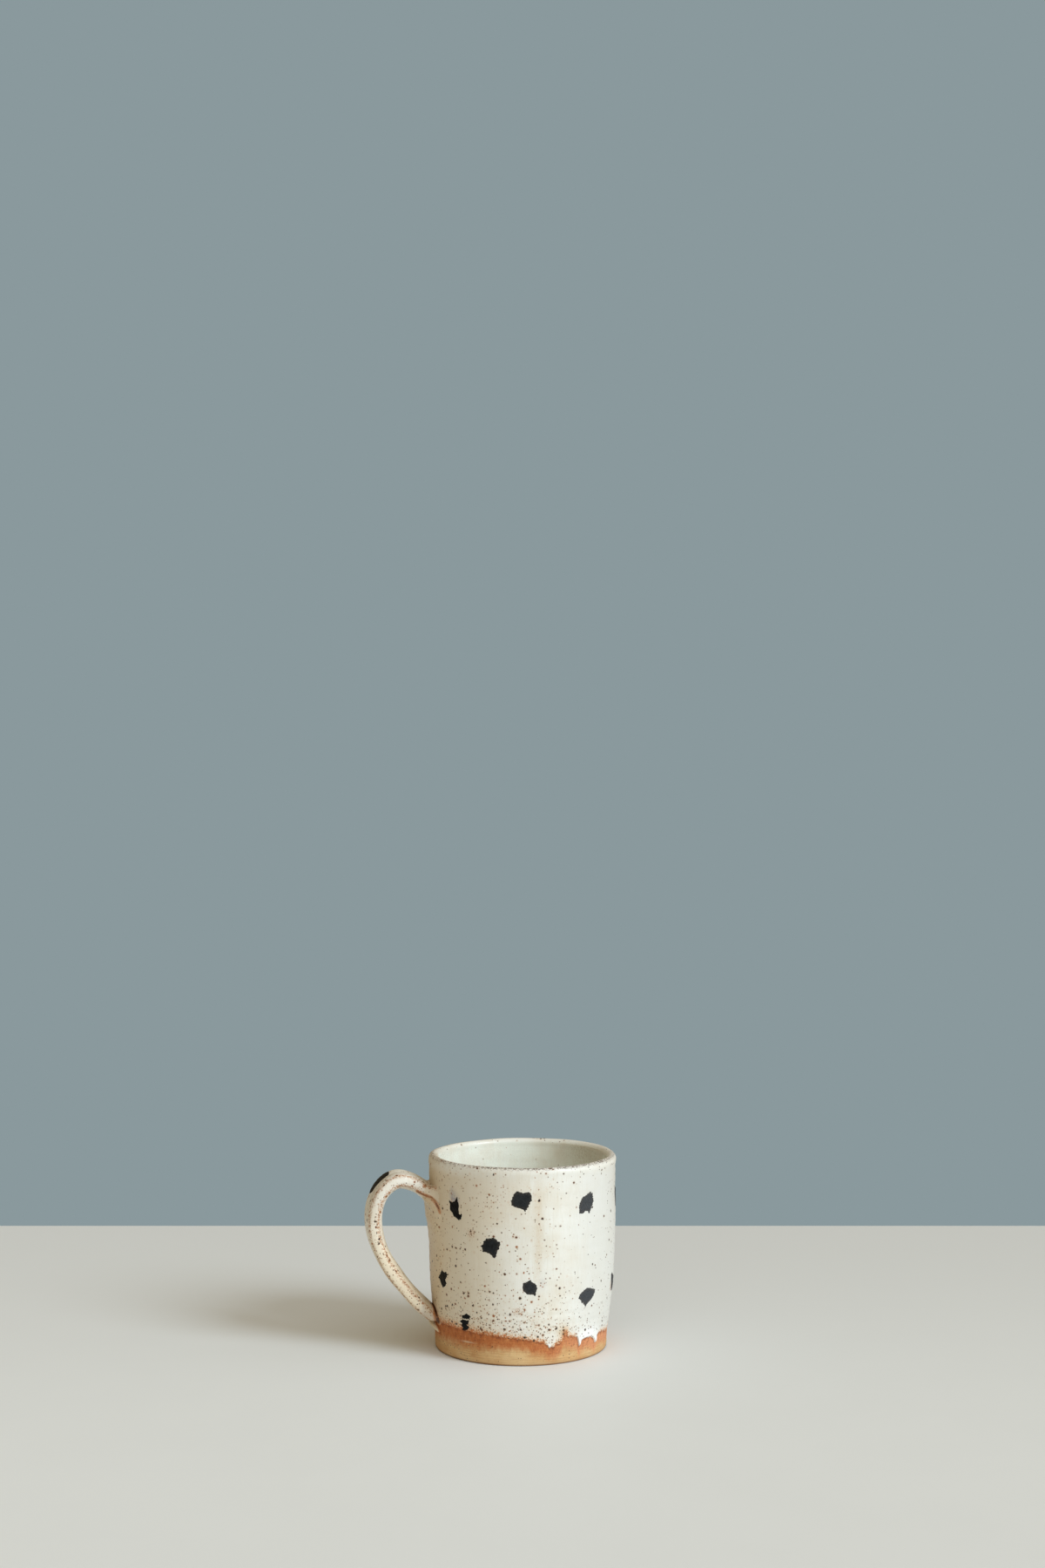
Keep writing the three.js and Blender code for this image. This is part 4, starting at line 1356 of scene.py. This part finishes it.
class MUG_OT_stage(bpy.types.Operator):
    """Sets the stage: a pale floor, plain surroundings, soft light from the right and the camera"""

    bl_idname = "mug.stage"
    bl_label = "Stage"

    def execute(self, context):
        scene, colours = context.scene, context.scene.mug_colours
        back, front, wide = 0.2733, -2.2, 2.4
        ahead = np.array([-RIGHT[1], RIGHT[0]])
        corners = [(-wide, front), (wide, front), (wide, back), (-wide, back)]
        flat = [(*(RIGHT * x + ahead * y), 0.0) for x, y in corners]
        mesh = bpy.data.meshes.new("floor")
        mesh.from_pydata(flat, [], [(0, 1, 2, 3)])
        floor = bpy.data.objects.new("floor", mesh)
        scene.collection.objects.link(floor)
        mesh.materials.append(plain_finish("pale_floor", tuple(colours.floor), 0.6))

        self.surround(scene, rgba(colours.backdrop))
        self.window("window", 2.04, (0.795, 0.895, 1.0), 57, 30, 24)
        self.window("bright wall", 1.32, (0.84, 0.91, 1.0), 34, 36, 110)

        camera = bpy.data.cameras.new("camera")
        camera.lens, camera.sensor_width = 50, 36
        camera.clip_start, camera.clip_end = 0.01, 20
        away, aside, level = 1.024, 0.0004, 0.2632
        eye = bpy.data.objects.new("camera", camera)
        scene.collection.objects.link(eye)
        eye.location = (*(RIGHT * aside - ahead * away), level)
        eye.rotation_euler = (math.pi / 2, 0, VIEW_TURN)
        scene.camera = eye
        scene.view_settings.view_transform = "Standard"
        return {"FINISHED"}

    def surround(self, scene, colour):
        """A plain backdrop to the eye, and a dimmer, warmer one for the light it gives."""
        world = bpy.data.worlds.new("surroundings")
        world.use_nodes = True
        tree = world.node_tree
        tree.nodes.clear()
        ambient = (0.31, 0.25, 0.155, 1)
        seen = node(tree, "Background", {"Color": colour, "Strength": 1.0}).outputs[0]
        gives = node(tree, "Background", {"Color": ambient, "Strength": 1.0}).outputs[0]
        direct = node(tree, "LightPath").outputs["Is Camera Ray"]
        mixed = node(tree, "MixShader", {0: direct, 1: gives, 2: seen}).outputs[0]
        tree.links.new(mixed, node(tree, "OutputWorld").inputs[0])
        scene.world = world

    def window(self, label, strength, colour, side, up, spread):
        """A far soft light: its strength and colour, degrees round to the right of the viewer,
        degrees above the floor, and degrees that it is across."""
        light = bpy.data.lights.new(label, "SUN")
        light.energy, light.color, light.angle = strength, colour, math.radians(spread)
        lamp = bpy.data.objects.new(label, light)
        bpy.context.scene.collection.objects.link(lamp)
        lamp.rotation_euler = (math.radians(90 - up), 0, FRONT + math.radians(side + 90))


class MUG_PT_panel(bpy.types.Panel):
    """Lists the mug's pieces and settings"""

    bl_idname = "MUG_PT_panel"
    bl_label = "Stoneware Mug"
    bl_space_type = "VIEW_3D"
    bl_region_type = "UI"
    bl_category = "Mug"

    def draw(self, context):
        for settings in (context.scene.mug_sizes, context.scene.mug_colours):
            box = self.layout.box()
            for label in settings.__annotations__:
                box.prop(settings, label)
        for operator in OPERATORS:
            self.layout.operator(operator.bl_idname)


OPERATORS = (MUG_OT_stage, MUG_OT_body, MUG_OT_wall_coat, MUG_OT_liner, MUG_OT_strap, MUG_OT_joins,
             MUG_OT_dots)
CLASSES = (MugSizes, MugColours, *OPERATORS, MUG_PT_panel)


def register():
    for cls in CLASSES:
        bpy.utils.register_class(cls)
    bpy.types.Scene.mug_sizes = PointerProperty(type=MugSizes)
    bpy.types.Scene.mug_colours = PointerProperty(type=MugColours)


def unregister():
    del bpy.types.Scene.mug_colours
    del bpy.types.Scene.mug_sizes
    for cls in reversed(CLASSES):
        bpy.utils.unregister_class(cls)


def main():
    """Sets the stage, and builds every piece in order."""
    register()
    bpy.ops.mug.stage()
    bpy.ops.mug.body()
    bpy.ops.mug.wall_coat()
    bpy.ops.mug.liner()
    bpy.ops.mug.strap()
    bpy.ops.mug.joins()
    bpy.ops.mug.dots()


if __name__ == "__main__":
    main()
